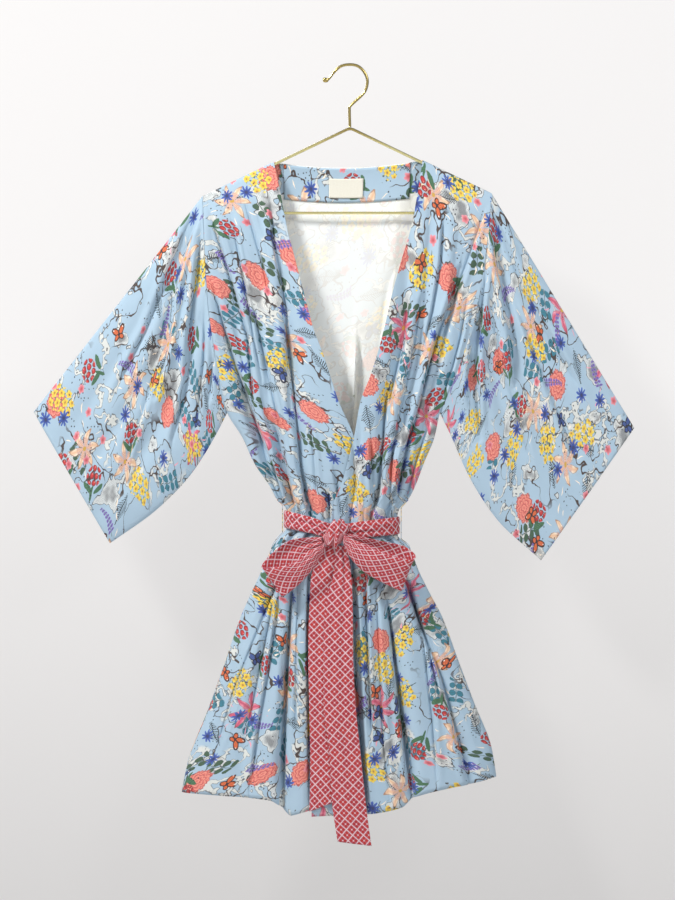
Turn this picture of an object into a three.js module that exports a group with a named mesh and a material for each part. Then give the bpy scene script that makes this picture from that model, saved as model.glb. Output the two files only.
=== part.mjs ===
import * as THREE from 'three';

// Short kimono with a tie belt, hanging on a brass wire hanger.
// Millimetres, +Z up. The front faces -Y. The origin is the inside of the top of
// the hook, where a nail bears, and the hanger lies in the plane y = 0.
// A level is a distance below the origin, and an across is a place over the
// width of the body, from -1 at the left side seam to 1 at the right one.

const clothThickness = 1.2;
const beltThickness = 1.6;
const facingThickness = 1.0;
const seamGap = 0.3;

const wireRadius = 2;
const wireSides = 8;
const apexX = 1.4;
const apexLevel = 86.8;
const armSlope = 0.48;
const hangerHalfWidth = 200;
const barLevel = 205.8;
const apexBend = 12;
const apexSteps = 6;
const endSteps = 12;

// The crest is where the cloth rounds over the wire at the shoulders.
const crestHeight = 3.6;
const crestDepth = 3.2;
const shoulderLevel = 182;
const underarmLevel = 485;
const hemLevel = 1016;
const slopeFade = 160;
const hemFade = 300;
const armholeDepth = 14;
const flatness = 2.6;
const neckCentre = -1.3;
const neckHalfWidth = 104;
const neckSag = 8.6;
const neckStand = 6;
const neckTurn = 7;
const neckFade = 80;
const wrapStep = 4.8;
const wrapRamp = 0.22;
const underHemRise = 8;

// Width and depth of the body, by level.
const bodyTable = [
  { level: 182, left: -204.4, right: 198.8, front: 0, back: 0 },
  { level: 194, left: -204, right: 198.4, front: 2.6, back: 2.2 },
  { level: 222, left: -203, right: 196.5, front: 8, back: 5.5 },
  { level: 262, left: -201.4, right: 191.5, front: 12, back: 8.5 },
  { level: 340, left: -196, right: 178.5, front: 17, back: 12 },
  { level: 420, left: -184, right: 154, front: 20, back: 14 },
  { level: 470, left: -174.6, right: 134, front: 22, back: 16 },
  { level: 485, left: -170.4, right: 127.2, front: 22.5, back: 16.5 },
  { level: 521, left: -148.4, right: 119, front: 24.5, back: 18.5 },
  { level: 555, left: -133, right: 105, front: 26, back: 20.5 },
  { level: 588, left: -110.6, right: 92.4, front: 26, back: 21.6 },
  { level: 606, left: -101, right: 83, front: 25.6, back: 22 },
  { level: 620, left: -87.4, right: 70, front: 25.4, back: 22 },
  { level: 634, left: -87, right: 67, front: 25.4, back: 22 },
  { level: 648, left: -87.4, right: 67, front: 25.4, back: 22 },
  { level: 658, left: -96, right: 68, front: 25.4, back: 22 },
  { level: 672, left: -106, right: 83, front: 26.6, back: 22.8 },
  { level: 706, left: -121.8, right: 97, front: 29.6, back: 24 },
  { level: 739, left: -137.2, right: 113, front: 31.6, back: 25 },
  { level: 773, left: -152, right: 130, front: 33, back: 26 },
  { level: 840, left: -175, right: 152.6, front: 34.6, back: 27.4 },
  { level: 907, left: -198.8, right: 175, front: 35.6, back: 28.4 },
  { level: 974, left: -225, right: 199, front: 36, back: 29 },
  { level: 1016, left: -233.8, right: 206, front: 36, back: 29 },
];

// Free edges of the two fronts, by level. The right one lies on top below the V.
const edgeTable = [
  { level: 133, under: -105.4, over: 102.8 },
  { level: 188, under: -93.8, over: 94.2 },
  { level: 228, under: -86.4, over: 86.4 },
  { level: 270, under: -75.5, over: 73.8 },
  { level: 320, under: -62.4, over: 60.2 },
  { level: 370, under: -49, over: 48.4 },
  { level: 403, under: -36.4, over: 39.6 },
  { level: 437, under: -25.2, over: 28.6 },
  { level: 470, under: -14.4, over: 15.8 },
  { level: 519, under: 7, over: 7 },
  { level: 573, under: 20, over: -7 },
  { level: 622, under: 28, over: -23.8 },
  { level: 700, under: 32, over: -30 },
  { level: 840, under: 38, over: -42 },
  { level: 1016, under: 45, over: -52 },
];

const foldLevels = ['chest', 'arm', 'waist', 'hip', 'hem'];
const foldHeights = { chest: 300, arm: 485, waist: 634, hip: 800, hem: 1016 };

// Valleys of the fronts: places across at five levels, and depths there.
const frontFolds = [
  { name: 'left_side', at: [-0.8, -0.8, -0.93, -0.9, -0.88], deep: [5, 8, 7, 3, 2], steep: 1 },
  { name: 'left_breast', at: [-0.62, -0.6, -0.79, -0.69, -0.62], deep: [2, 7, 12, 7, 5], steep: 1 },
  { name: 'left_neck', at: [-0.46, -0.4, -0.57, -0.49, -0.35], deep: [5, 8, 12, 13, 14], steep: -1 },
  { name: 'middle', at: [0.2, 0.24, 0.15, 0.15, 0.15], deep: [0, 1, 8, 10, 12], steep: 1 },
  { name: 'right_neck', at: [0.46, 0.49, 0.53, 0.46, 0.455], deep: [5, 8, 12, 13, 14], steep: 1 },
  { name: 'right_breast', at: [0.6, 0.66, 0.78, 0.78, 0.83], deep: [6, 8, 12, 7, 6], steep: -1 },
  { name: 'right_side', at: [0.8, 0.84, 0.94, 0.92, 0.93], deep: [6, 8, 7, 3, 2], steep: -1 },
];

// Valleys of the back.
const backFolds = [
  { name: 'left_side', at: [-0.82, -0.84, -0.93, -0.9, -0.88], deep: [4, 7, 6, 3, 2], steep: 1 },
  { name: 'left_blade', at: [-0.6, -0.62, -0.74, -0.68, -0.64], deep: [3, 6, 11, 8, 7], steep: -1 },
  { name: 'left_mid', at: [-0.34, -0.38, -0.5, -0.44, -0.36], deep: [1, 4, 12, 9, 11], steep: 1 },
  { name: 'left_centre', at: [-0.14, -0.16, -0.2, -0.18, -0.12], deep: [0, 2, 11, 8, 7], steep: 1 },
  { name: 'right_centre', at: [0.12, 0.1, 0.12, 0.14, 0.17], deep: [0, 3, 12, 9, 10], steep: -1 },
  { name: 'right_mid', at: [0.36, 0.38, 0.44, 0.4, 0.43], deep: [1, 5, 11, 8, 8], steep: 1 },
  { name: 'right_blade', at: [0.6, 0.63, 0.72, 0.69, 0.66], deep: [3, 6, 11, 8, 7], steep: 1 },
  { name: 'right_side', at: [0.82, 0.85, 0.93, 0.91, 0.9], deep: [4, 7, 6, 3, 2], steep: -1 },
];
const foldSteep = 0.028;
const foldSoft = 0.062;

// Hem of the fronts, and of the back, as levels over the width.
const hemTable = [
  { across: -1, front: 1016, back: 1014 },
  { across: -0.7, front: 1019, back: 1012 },
  { across: -0.44, front: 1024, back: 1010 },
  { across: -0.37, front: 1033, back: 1010 },
  { across: -0.3, front: 1049, back: 1009 },
  { across: -0.15, front: 1046, back: 1008 },
  { across: 0.18, front: 1043, back: 1006 },
  { across: 0.4, front: 1034, back: 1003 },
  { across: 0.47, front: 1021, back: 1002 },
  { across: 0.67, front: 1009, back: 1000 },
  { across: 0.85, front: 1002, back: 998 },
  { across: 1, front: 994, back: 995 },
];

// Sleeves: the folded top edge is straight, the lower edge has five stations.
const sleeves = {
  left: {
    side: -1,
    cuffTop: [-441, -484.4],
    lower: [
      { along: 0.25, x: -189, z: -520.8 },
      { along: 0.5, x: -221.2, z: -571.2 },
      { along: 0.75, x: -270.2, z: -621.6 },
      { along: 1, x: -334.6, z: -667.8 },
    ],
  },
  right: {
    side: 1,
    cuffTop: [399, -506.8],
    lower: [
      { along: 0.25, x: 144.2, z: -520.8 },
      { along: 0.5, x: 166.6, z: -571.2 },
      { along: 0.75, x: 207, z: -634.2 },
      { along: 1, x: 268.8, z: -691.6 },
    ],
  },
};
const cuffDepth = 9;

// Folds of a sleeve, from the shoulder to the lower edge: places down the width
// at the armhole and at the cuff, and the depth half way along.
const sleeveFolds = [
  { name: 'crown', start: 0.1, end: 0.3, deep: 3.5 },
  { name: 'middle', start: 0.28, end: 0.55, deep: 5 },
  { name: 'lower', start: 0.5, end: 0.8, deep: 5.5 },
];
const sleeveFoldWidth = 0.07;
const sleeveLeastDepth = 0.3;
const sleeveFoldStart = 0.06;
const sleeveFoldEnd = 0.96;
const underarmShare = 0.1;

const facing = { halfAcross: 0.44, topDrop: 1, bottomDrop: 42, columns: 16, rows: 3 };
const label = { left: -28, right: 20.2, topDrop: 14.5, bottomDrop: 37.3, columns: 4, rows: 3 };

const belt = { height: 24, sideClear: 2.8, frontClear: 3, backClear: 2.6, columns: 44 };
const beltTable = [
  { across: -1, level: 634 },
  { across: -0.55, level: 642 },
  { across: -0.1, level: 651 },
  { across: 0.35, level: 648 },
  { across: 1, level: 643 },
];
const beltBulge = [0, 1.1, 0.2, 1.2, 0];

const knot = { x: -18, y: -43.2, z: -652, halfWidth: 15, halfDepth: 9, halfHeight: 17.5, boxiness: 0.7 };
const knotSides = 18;
const knotRings = 12;

// Bow loops: from the knot out to the folded end and back behind.
const bowLoops = {
  left: { rootX: -33.5, rootZ: -664, endX: -107, endZ: -718.5, rootWidth: 24, endWidth: 50 },
  right: { rootX: -2.5, rootZ: -661, endX: 78, endZ: -708, rootWidth: 22, endWidth: 54 },
};
const loopMiddleY = -47.5;
const loopRootHalfDepth = 2.4;
const loopEndRadius = 4;
const loopPucker = 0.9;
const loopSpread = 0.7;
const loopRunSteps = 8;
const loopTurnSteps = 6;
const loopColumns = 5;

// Belt ends, by level: left and right edges.
const tails = {
  short: {
    clear: 2.6,
    rows: [
      { level: 670, left: -33, right: -19.5, top: 7 },
      { level: 690, left: -47, right: -16, top: 2 },
      { level: 725, left: -54.4, right: -12, top: 0 },
      { level: 800, left: -56, right: -10.4, top: 0 },
      { level: 900, left: -55.6, right: -9.4, top: 0 },
      { level: 995, left: -54, right: -8, top: 0 },
      { level: 1030, left: -54.6, right: -8.6, top: 0 },
    ],
    endSlant: 18,
  },
  long: {
    clear: 6.2,
    rows: [
      { level: 670, left: -25, right: -8, top: 9 },
      { level: 690, left: -26.6, right: -4, top: 3.4 },
      { level: 742, left: -31.2, right: 4.2, top: 0 },
      { level: 818, left: -35, right: 6, top: 0 },
      { level: 893, left: -35, right: 9.4, top: 0 },
      { level: 951, left: -28.4, right: 14.6, top: 0 },
      { level: 1026, left: -23.6, right: 23.2, top: 0 },
      { level: 1083, left: -15.4, right: 31.6, top: 0 },
    ],
    endSlant: -6,
  },
};
const tailRows = 15;
const tailColumns = 4;
const tailCup = 1.4;
const tailCrowding = 1.25;
const tailEndShare = 0.2;

const beltLevel = 640;
const edgeGuesses = 6;
const beltLoop = { width: 6, topLevel: 607, bottomLevel: 676, thickness: 1.2, clear: 3, outer: 1.6 };

// The hook's centre line, from its tip over the top and down to the arms.
const hookStations = [
  { x: -36.5, level: 19.4 },
  { x: -29.6, level: 18.8 },
  { x: -21.3, level: 8.9 },
  { x: -11.6, level: 0.4 },
  { x: 0.6, level: -2 },
  { x: 12, level: 0 },
  { x: 20.8, level: 7.7 },
  { x: 25.6, level: 19 },
  { x: 24, level: 31.6 },
  { x: 18, level: 40.8 },
  { x: 2.2, level: 55.6 },
  { x: 0.6, level: 61 },
  { x: 1.2, level: 85.6 },
];
const hookSteps = 34;
const tipKnobRadius = 3.4;

const sleeveSides = 26;
const sleeveStations = [0, 0.05, 0.16, 0.3, 0.44, 0.58, 0.72, 0.86, 1];
const underarmClear = 0.6;
const sleeveClear = 0.35;

// Levels of the body's rows, close together at the crest and at the waist.
const rowLevels = [
  182, 182.8, 185.6, 193, 212, 245, 285, 330, 375, 420, 460, 485, 520, 555,
  588, 607, 621, 635, 649, 660, 676, 706, 745, 800, 870, 945, 1016,
];
const sideRound = 0.985;
const columnGap = 0.012;
const frontColumns = 20;
const neckEndReach = 0.014;
const foldReach = 1.3;
const neckEnds = [
  { at: [-0.491, -0.5, -0.63, -0.56, -0.5] },
  { at: [0.506, 0.51, 0.58, 0.54, 0.54] },
];

// Reads a column of a table at a place, by a smooth curve with no overshoot.
function readTable(table, key, column, place) {
  const last = table.length - 1;
  if (place <= table[0][key]) return table[0][column];
  if (place >= table[last][key]) return table[last][column];
  let i = 0;
  while (table[i + 1][key] < place) i += 1;
  const rise = (k) => (table[k + 1][column] - table[k][column]) / (table[k + 1][key] - table[k][key]);
  const tangent = (k) => {
    if (k === 0) return rise(0);
    if (k === last) return rise(last - 1);
    const before = rise(k - 1);
    const after = rise(k);
    return before * after <= 0 ? 0 : (2 * before * after) / (before + after);
  };
  const span = table[i + 1][key] - table[i][key];
  const t = (place - table[i][key]) / span;
  const s = 1 - t;
  return table[i][column] * s * s * (1 + 2 * t) + table[i + 1][column] * t * t * (3 - 2 * t)
    + tangent(i) * span * t * s * s - tangent(i + 1) * span * t * t * s;
}

function smoothStep(value) {
  const t = Math.min(1, Math.max(0, value));
  return t * t * (3 - 2 * t);
}

// A fold's place and depth at a level, from its five stations.
function readFold(fold, column, level) {
  const rows = foldLevels.map((name, i) => ({ height: foldHeights[name], value: fold[column][i] }));
  return readTable(rows, 'height', 'value', level);
}

function foldFadeIn(level) {
  return smoothStep((level - shoulderLevel) / (foldHeights.chest - shoulderLevel));
}

// How far the folds draw the cloth in at a place, always zero or more.
function foldDepth(folds, across, level) {
  const drawn = folds.map((fold) => {
    const away = (across - readFold(fold, 'at', level)) * fold.steep;
    const width = away > 0 ? foldSteep : foldSoft;
    return readFold(fold, 'deep', level) * Math.exp(-((away / width) ** 2));
  });
  return Math.max(...drawn) * foldFadeIn(level);
}

function armholeHalfDepth(level) {
  const c = (level - shoulderLevel) / (underarmLevel - shoulderLevel);
  return c <= 0 || c >= 1 ? 0 : 2 * armholeDepth * Math.sqrt(c * (1 - c));
}

function crest(drop) {
  const t = Math.min(1, drop / crestHeight);
  return crestDepth * Math.sqrt(1 - (1 - t) ** 2);
}

function wireZ(x) {
  return -apexLevel - Math.abs(x - apexX) * armSlope;
}

function shoulderZ(x) {
  return wireZ(x) + crestHeight;
}

// How far a place is inside the neck: 0 at the shoulder seam's end, 1 at the middle.
function neckShare(x) {
  return Math.max(0, 1 - (Math.abs(x - neckCentre) / neckHalfWidth) ** 2);
}

function neckTurned(x) {
  const inside = neckHalfWidth - Math.abs(x - neckCentre);
  return Math.sin((Math.PI / 2) * Math.min(1, Math.max(0, inside / neckTurn)));
}

function topZ(x, isBack) {
  if (!isBack || neckShare(x) === 0) return shoulderZ(x);
  const left = shoulderZ(neckCentre - neckHalfWidth);
  const right = shoulderZ(neckCentre + neckHalfWidth);
  const share = (x - neckCentre + neckHalfWidth) / (2 * neckHalfWidth);
  return left + (right - left) * share - neckSag * neckShare(x);
}

function bodyX(across, level) {
  const left = readTable(bodyTable, 'level', 'left', level);
  const right = readTable(bodyTable, 'level', 'right', level);
  return left + ((right - left) * (across + 1)) / 2;
}

function acrossAt(x, level) {
  const left = readTable(bodyTable, 'level', 'left', level);
  const right = readTable(bodyTable, 'level', 'right', level);
  return (2 * (x - left)) / (right - left) - 1;
}

// Height of a body point: sloped like the shoulder at the top, like the hem below.
function bodyZ(across, level, isBack) {
  const x = bodyX(across, level);
  const slope = 1 - smoothStep((level - shoulderLevel) / slopeFade);
  const hem = readTable(hemTable, 'across', isBack ? 'back' : 'front', across);
  const low = smoothStep((level - hemLevel + hemFade) / hemFade);
  return -level + (topZ(x, isBack) + shoulderLevel) * slope - (hem - hemLevel) * low;
}

// Mid surface of the body at a place, without the side seams' gap.
function bodyPoint(across, level, isBack) {
  const x = bodyX(across, level);
  const drop = level - shoulderLevel;
  const turned = isBack ? neckTurned(x) : 0;
  const bulge = readTable(bodyTable, 'level', isBack ? 'back' : 'front', level);
  const depth = crest(drop) * (1 - turned) + crestDepth * turned + bulge;
  const edge = armholeHalfDepth(level);
  const round = Math.max(0, 1 - Math.abs(across) ** flatness);
  let y = Math.sqrt(edge ** 2 + (depth ** 2 - edge ** 2) * round);
  y -= foldDepth(isBack ? backFolds : frontFolds, across, level) * Math.sqrt(round);
  if (isBack) y += neckStand * neckShare(x) * (1 - smoothStep(drop / neckFade));
  y = Math.max(y, seamGap / 2);
  return new THREE.Vector3(x, isBack ? y : -y, bodyZ(across, level, isBack));
}

// Direction out of the cloth along the edges that meet another piece.
function shoulderNormal(x, isBack) {
  const arm = new THREE.Vector3(Math.sign(x - apexX) * armSlope, 0, 1).normalize();
  if (!isBack) return arm;
  return arm.lerp(new THREE.Vector3(0, 1, 0), neckTurned(x)).normalize();
}

function armholeNormal(level, frontSign) {
  const c = (level - shoulderLevel) / (underarmLevel - shoulderLevel);
  const halfHeight = (underarmLevel - shoulderLevel) / 2;
  const down = (2 * c - 1) / halfHeight;
  const out = armholeHalfDepth(level) / armholeDepth ** 2;
  return new THREE.Vector3(0, -frontSign * out, -down).normalize();
}

// Closes a wall round a grid of mid surface points. Each point may bring its own
// direction out, and the others take it from the points beside them.
function wallGeometry(grid, thickness, wraps) {
  const rows = grid.length;
  const columns = grid[0].length;
  const column = (c) => (wraps ? (c + columns) % columns : Math.min(columns - 1, Math.max(0, c)));
  const row = (r) => Math.min(rows - 1, Math.max(0, r));
  const outDirection = (r, c) => {
    if (grid[r][c].out) return grid[r][c].out;
    const across = grid[r][column(c + 1)].clone().sub(grid[r][column(c - 1)]);
    const down = grid[row(r + 1)][c].clone().sub(grid[row(r - 1)][c]);
    return down.cross(across).normalize();
  };
  const positions = [];
  [0.5, -0.5].forEach((share) => {
    for (let r = 0; r < rows; r += 1) {
      for (let c = 0; c < columns; c += 1) {
        const point = grid[r][c].clone().addScaledVector(outDirection(r, c), thickness * share);
        positions.push(point.x, point.y, point.z);
      }
    }
  });
  const index = [];
  const inner = rows * columns;
  const quad = (a, b, c, d) => index.push(a, b, c, a, c, d);
  const lastColumn = wraps ? columns : columns - 1;
  for (let r = 0; r < rows - 1; r += 1) {
    for (let c = 0; c < lastColumn; c += 1) {
      const a = r * columns + c;
      const b = r * columns + column(c + 1);
      quad(a, a + columns, b + columns, b);
      quad(inner + a, inner + b, inner + b + columns, inner + a + columns);
    }
  }
  const rim = [];
  for (let c = 0; c < lastColumn; c += 1) rim.push([c, column(c + 1)]);
  rim.forEach(([a, b]) => {
    const low = (rows - 1) * columns;
    quad(a, b, inner + b, inner + a);
    quad(low + b, low + a, inner + low + a, inner + low + b);
  });
  if (!wraps) {
    for (let r = 0; r < rows - 1; r += 1) {
      const a = r * columns;
      const end = a + columns - 1;
      quad(a + columns, a, inner + a, inner + a + columns);
      quad(end, end + columns, inner + end + columns, inner + end);
    }
  }
  const geometry = new THREE.BufferGeometry();
  geometry.setAttribute('position', new THREE.Float32BufferAttribute(positions, 3));
  geometry.setIndex(index);
  geometry.computeVertexNormals();
  return geometry;
}

// A closed wire of round section, through points in the plane y = 0. A closed
// loop has no ends, and an open one is capped.
function wireGeometry(points, radii, closes) {
  const count = points.length;
  const positions = [];
  const index = [];
  points.forEach((point, i) => {
    const before = points[closes ? (i + count - 1) % count : Math.max(0, i - 1)];
    const after = points[closes ? (i + 1) % count : Math.min(count - 1, i + 1)];
    const along = after.clone().sub(before).normalize();
    const inPlane = new THREE.Vector3(-along.z, 0, along.x);
    for (let s = 0; s < wireSides; s += 1) {
      const turn = (2 * Math.PI * s) / wireSides;
      const x = point.x + inPlane.x * Math.cos(turn) * radii[i];
      const z = point.z + inPlane.z * Math.cos(turn) * radii[i];
      positions.push(x, Math.sin(turn) * radii[i], z);
    }
  });
  const rings = closes ? count : count - 1;
  for (let i = 0; i < rings; i += 1) {
    const a = i * wireSides;
    const b = ((i + 1) % count) * wireSides;
    for (let s = 0; s < wireSides; s += 1) {
      const next = (s + 1) % wireSides;
      index.push(a + s, b + next, a + next, a + s, b + s, b + next);
    }
  }
  if (!closes) {
    const last = (count - 1) * wireSides;
    for (let s = 1; s < wireSides - 1; s += 1) {
      index.push(0, s, s + 1);
      index.push(last, last + s + 1, last + s);
    }
  }
  const geometry = new THREE.BufferGeometry();
  geometry.setAttribute('position', new THREE.Float32BufferAttribute(positions, 3));
  geometry.setIndex(index);
  geometry.computeVertexNormals();
  return geometry;
}

// A corner of the wire, rounded to a radius, as points on its arc.
function roundedCorner(before, corner, after, radius, steps) {
  const toBefore = before.clone().sub(corner).normalize();
  const toAfter = after.clone().sub(corner).normalize();
  const half = toBefore.angleTo(toAfter) / 2;
  const middle = toBefore.clone().add(toAfter).normalize();
  const centre = corner.clone().addScaledVector(middle, radius / Math.sin(half));
  const start = corner.clone().addScaledVector(toBefore, radius / Math.tan(half)).sub(centre);
  const end = corner.clone().addScaledVector(toAfter, radius / Math.tan(half)).sub(centre);
  const sweep = start.angleTo(end);
  const points = [];
  for (let i = 0; i <= steps; i += 1) {
    const t = i / steps;
    const point = start.clone().multiplyScalar(Math.sin((1 - t) * sweep) / Math.sin(sweep));
    point.addScaledVector(end, Math.sin(t * sweep) / Math.sin(sweep));
    points.push(point.add(centre));
  }
  return points;
}

function hangerFrame() {
  const reach = (barLevel - apexLevel) / armSlope;
  const apex = new THREE.Vector3(apexX, 0, -apexLevel);
  const left = new THREE.Vector3(apexX - reach, 0, -barLevel);
  const right = new THREE.Vector3(apexX + reach, 0, -barLevel);
  const halfTurn = Math.atan(armSlope) / 2;
  const endRadius = (reach - hangerHalfWidth) / (1 / Math.tan(halfTurn) - 1);
  const points = [
    ...roundedCorner(right, apex, left, apexBend, apexSteps),
    ...roundedCorner(apex, left, right, endRadius, endSteps),
    ...roundedCorner(left, right, apex, endRadius, endSteps),
  ];
  return wireGeometry(points, points.map(() => wireRadius), true);
}

function hangerHook() {
  const knots = hookStations.map(({ x, level }) => new THREE.Vector3(x, 0, -level));
  const curve = new THREE.CatmullRomCurve3(knots, false, 'centripetal');
  const points = curve.getSpacedPoints(hookSteps);
  const radii = points.map((point, i) => {
    const fromTip = (i * curve.getLength()) / hookSteps;
    const swell = Math.max(0, 1 - ((fromTip - tipKnobRadius) / tipKnobRadius) ** 2);
    return wireRadius + (tipKnobRadius - wireRadius) * Math.sqrt(swell);
  });
  return wireGeometry(points, radii, false);
}

// Places over the width where a wall has its columns: three at each fold, and
// between them one, from the left side seam to the right one.
function foldColumns(folds, level, neckEnds) {
  const marks = [...folds.map((fold) => ({ fold })), ...neckEnds.map((end) => ({ end }))];
  const placeOf = (mark, height) => readFold(mark.fold || mark.end, 'at', height);
  marks.sort((a, b) => placeOf(a, foldHeights.chest) - placeOf(b, foldHeights.chest));
  const places = [-1, -sideRound];
  marks.forEach((mark) => {
    const place = placeOf(mark, level);
    let reaches = [neckEndReach, neckEndReach];
    if (mark.fold) reaches = mark.fold.steep > 0 ? [foldSoft, foldSteep] : [foldSteep, foldSoft];
    places.push(place - reaches[0] * foldReach, place, place + reaches[1] * foldReach);
    places.push(null);
  });
  places.pop();
  places.push(sideRound, 1);
  places.forEach((place, i) => {
    if (place === null) places[i] = (places[i - 1] + places[i + 1]) / 2;
  });
  for (let i = 1; i < places.length; i += 1) {
    places[i] = Math.max(places[i], places[i - 1] + columnGap);
  }
  places[places.length - 1] = 1;
  for (let i = places.length - 2; i > 0; i -= 1) {
    places[i] = Math.min(places[i], places[i + 1] - columnGap);
  }
  return places;
}

// Places of a front's free edge over the width. The row slopes, so it is found
// by reading the edge at the height that the last guess gives.
function edgeAcross(level, column) {
  let across = acrossAt(readTable(edgeTable, 'level', column, level), level);
  for (let i = 0; i < edgeGuesses; i += 1) {
    const height = -bodyZ(across, level, false);
    across = acrossAt(readTable(edgeTable, 'level', column, height), level);
  }
  return across;
}

// Gives the row's end point its gap to the next piece and its direction out.
function seatAtSeam(point, side, level, isBack) {
  if (level < underarmLevel) {
    point.x -= (side * seamGap) / 2;
    point.out = armholeNormal(level, isBack ? -1 : 1);
  } else {
    point.y = isBack ? seamGap / 2 : -seamGap / 2;
    point.out = new THREE.Vector3(side, 0, 0);
  }
}

function underShare(across, level) {
  const edge = edgeAcross(level, 'over');
  return smoothStep((across - edge + wrapRamp) / wrapRamp);
}

function frontGrid(isOver) {
  const column = isOver ? 'over' : 'under';
  const side = isOver ? 1 : -1;
  return rowLevels.map((level) => {
    const edge = edgeAcross(level, column);
    const all = foldColumns(frontFolds, level, []);
    const kept = isOver ? all.slice(all.length - frontColumns + 1) : all.slice(0, frontColumns - 1);
    const fromSide = isOver ? kept.reverse() : kept;
    const places = fromSide.map((place, i) => {
      const room = columnGap * (frontColumns - 1 - i);
      return isOver ? Math.max(place, edge + room) : Math.min(place, edge - room);
    });
    places.push(edge);
    const row = places.map((across) => {
      const point = bodyPoint(across, level, false);
      if (!isOver) {
        const share = underShare(across, level);
        point.y += wrapStep * share;
        point.z += underHemRise * share * smoothStep((level - hemLevel + hemFade) / hemFade);
      }
      return point;
    });
    seatAtSeam(row[0], side, level, false);
    if (level === shoulderLevel) {
      row.forEach((point) => {
        point.y = -seamGap / 2;
        point.out = shoulderNormal(point.x, false);
      });
    }
    return isOver ? row.reverse() : row;
  });
}

function backGrid() {
  return rowLevels.map((level) => {
    const row = foldColumns(backFolds, level, neckEnds).map((across) => bodyPoint(across, level, true));
    seatAtSeam(row[0], -1, level, true);
    seatAtSeam(row[row.length - 1], 1, level, true);
    if (level === shoulderLevel) {
      row.forEach((point) => {
        point.out = shoulderNormal(point.x, true);
      });
    }
    return row.reverse();
  });
}

// A piece that lies inside the back, made from the back's own points.
function onBackGrid(places, topDrop, bottomDrop, rows, moved) {
  const grid = [];
  for (let r = 0; r <= rows; r += 1) {
    const level = shoulderLevel + topDrop + ((bottomDrop - topDrop) * r) / rows;
    grid.push(places.map((across) => bodyPoint(across, level, true).add(new THREE.Vector3(0, -moved, 0))));
  }
  return grid;
}

function evenPlaces(from, to, count) {
  return Array.from({ length: count + 1 }, (_, i) => from + ((to - from) * i) / count);
}

const facingMoved = clothThickness / 2 + seamGap + facingThickness / 2;

function facingGrid() {
  const places = evenPlaces(-facing.halfAcross, facing.halfAcross, facing.columns);
  return onBackGrid(places, facing.topDrop, facing.bottomDrop, facing.rows, facingMoved);
}

function labelGrid() {
  const level = shoulderLevel + label.topDrop;
  const places = evenPlaces(acrossAt(label.left, level), acrossAt(label.right, level), label.columns);
  const moved = facingMoved + facingThickness + seamGap;
  return onBackGrid(places, label.topDrop, label.bottomDrop, label.rows, moved);
}

// Depth that a sleeve's folds draw its wall in, at a place down its width.
function sleeveFoldDepth(down, along) {
  const drawn = sleeveFolds.map(({ start, end, deep }) => {
    const place = start + (end - start) * along;
    return deep * Math.exp(-(((down - place) / sleeveFoldWidth) ** 2));
  });
  return Math.max(...drawn) * Math.sin(Math.PI * (sleeveFoldStart + (sleeveFoldEnd - sleeveFoldStart) * along));
}

// A ring of a sleeve: over the front from the top edge to the lower edge, and
// back up behind. The first ring follows the armhole.
function sleeveRing(sleeve, along) {
  const { side, cuffTop, lower } = sleeve;
  const top = new THREE.Vector3(bodyX(side, shoulderLevel), 0, bodyZ(side, shoulderLevel, false));
  const bottom = new THREE.Vector3(bodyX(side, underarmLevel - 0.01), 0, -underarmLevel);
  const stations = [{ along: 0, x: bottom.x, z: bottom.z }, ...lower];
  const topPoint = top.clone().lerp(new THREE.Vector3(cuffTop[0], 0, cuffTop[1]), along);
  const lowPoint = new THREE.Vector3(
    readTable(stations, 'along', 'x', along),
    0,
    readTable(stations, 'along', 'z', along),
  );
  const halfDepth = armholeDepth + (cuffDepth - armholeDepth) * along;
  const ring = [];
  for (let i = 0; i < sleeveSides; i += 1) {
    const turn = (2 * Math.PI * i) / sleeveSides;
    const down = (1 - Math.cos(turn)) / 2;
    const point = topPoint.clone().lerp(lowPoint, down);
    const level = shoulderLevel + (underarmLevel - shoulderLevel) * down;
    const seam = new THREE.Vector3(bodyX(side, level), 0, bodyZ(side, level, false));
    const chord = top.clone().lerp(bottom, down);
    const bow = seam.sub(chord).multiplyScalar((1 - along) ** 2);
    point.add(bow);
    const fold = sleeveFoldDepth(down, along);
    point.y = -Math.sin(turn) * Math.max(halfDepth - fold, halfDepth * sleeveLeastDepth);
    point.x += side * sleeveClear;
    if (along === 0) {
      const nearUnderarm = smoothStep((down - 1 + underarmShare) / underarmShare);
      point.x += side * underarmClear * nearUnderarm;
      point.out = armholeNormal(Math.min(level, underarmLevel), Math.sign(Math.sin(turn)) || 1);
    }
    ring.push(point);
  }
  return side > 0 ? ring.reverse() : ring;
}

function sleeveGrid(sleeve) {
  return sleeveStations.map((along) => sleeveRing(sleeve, along));
}

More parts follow.
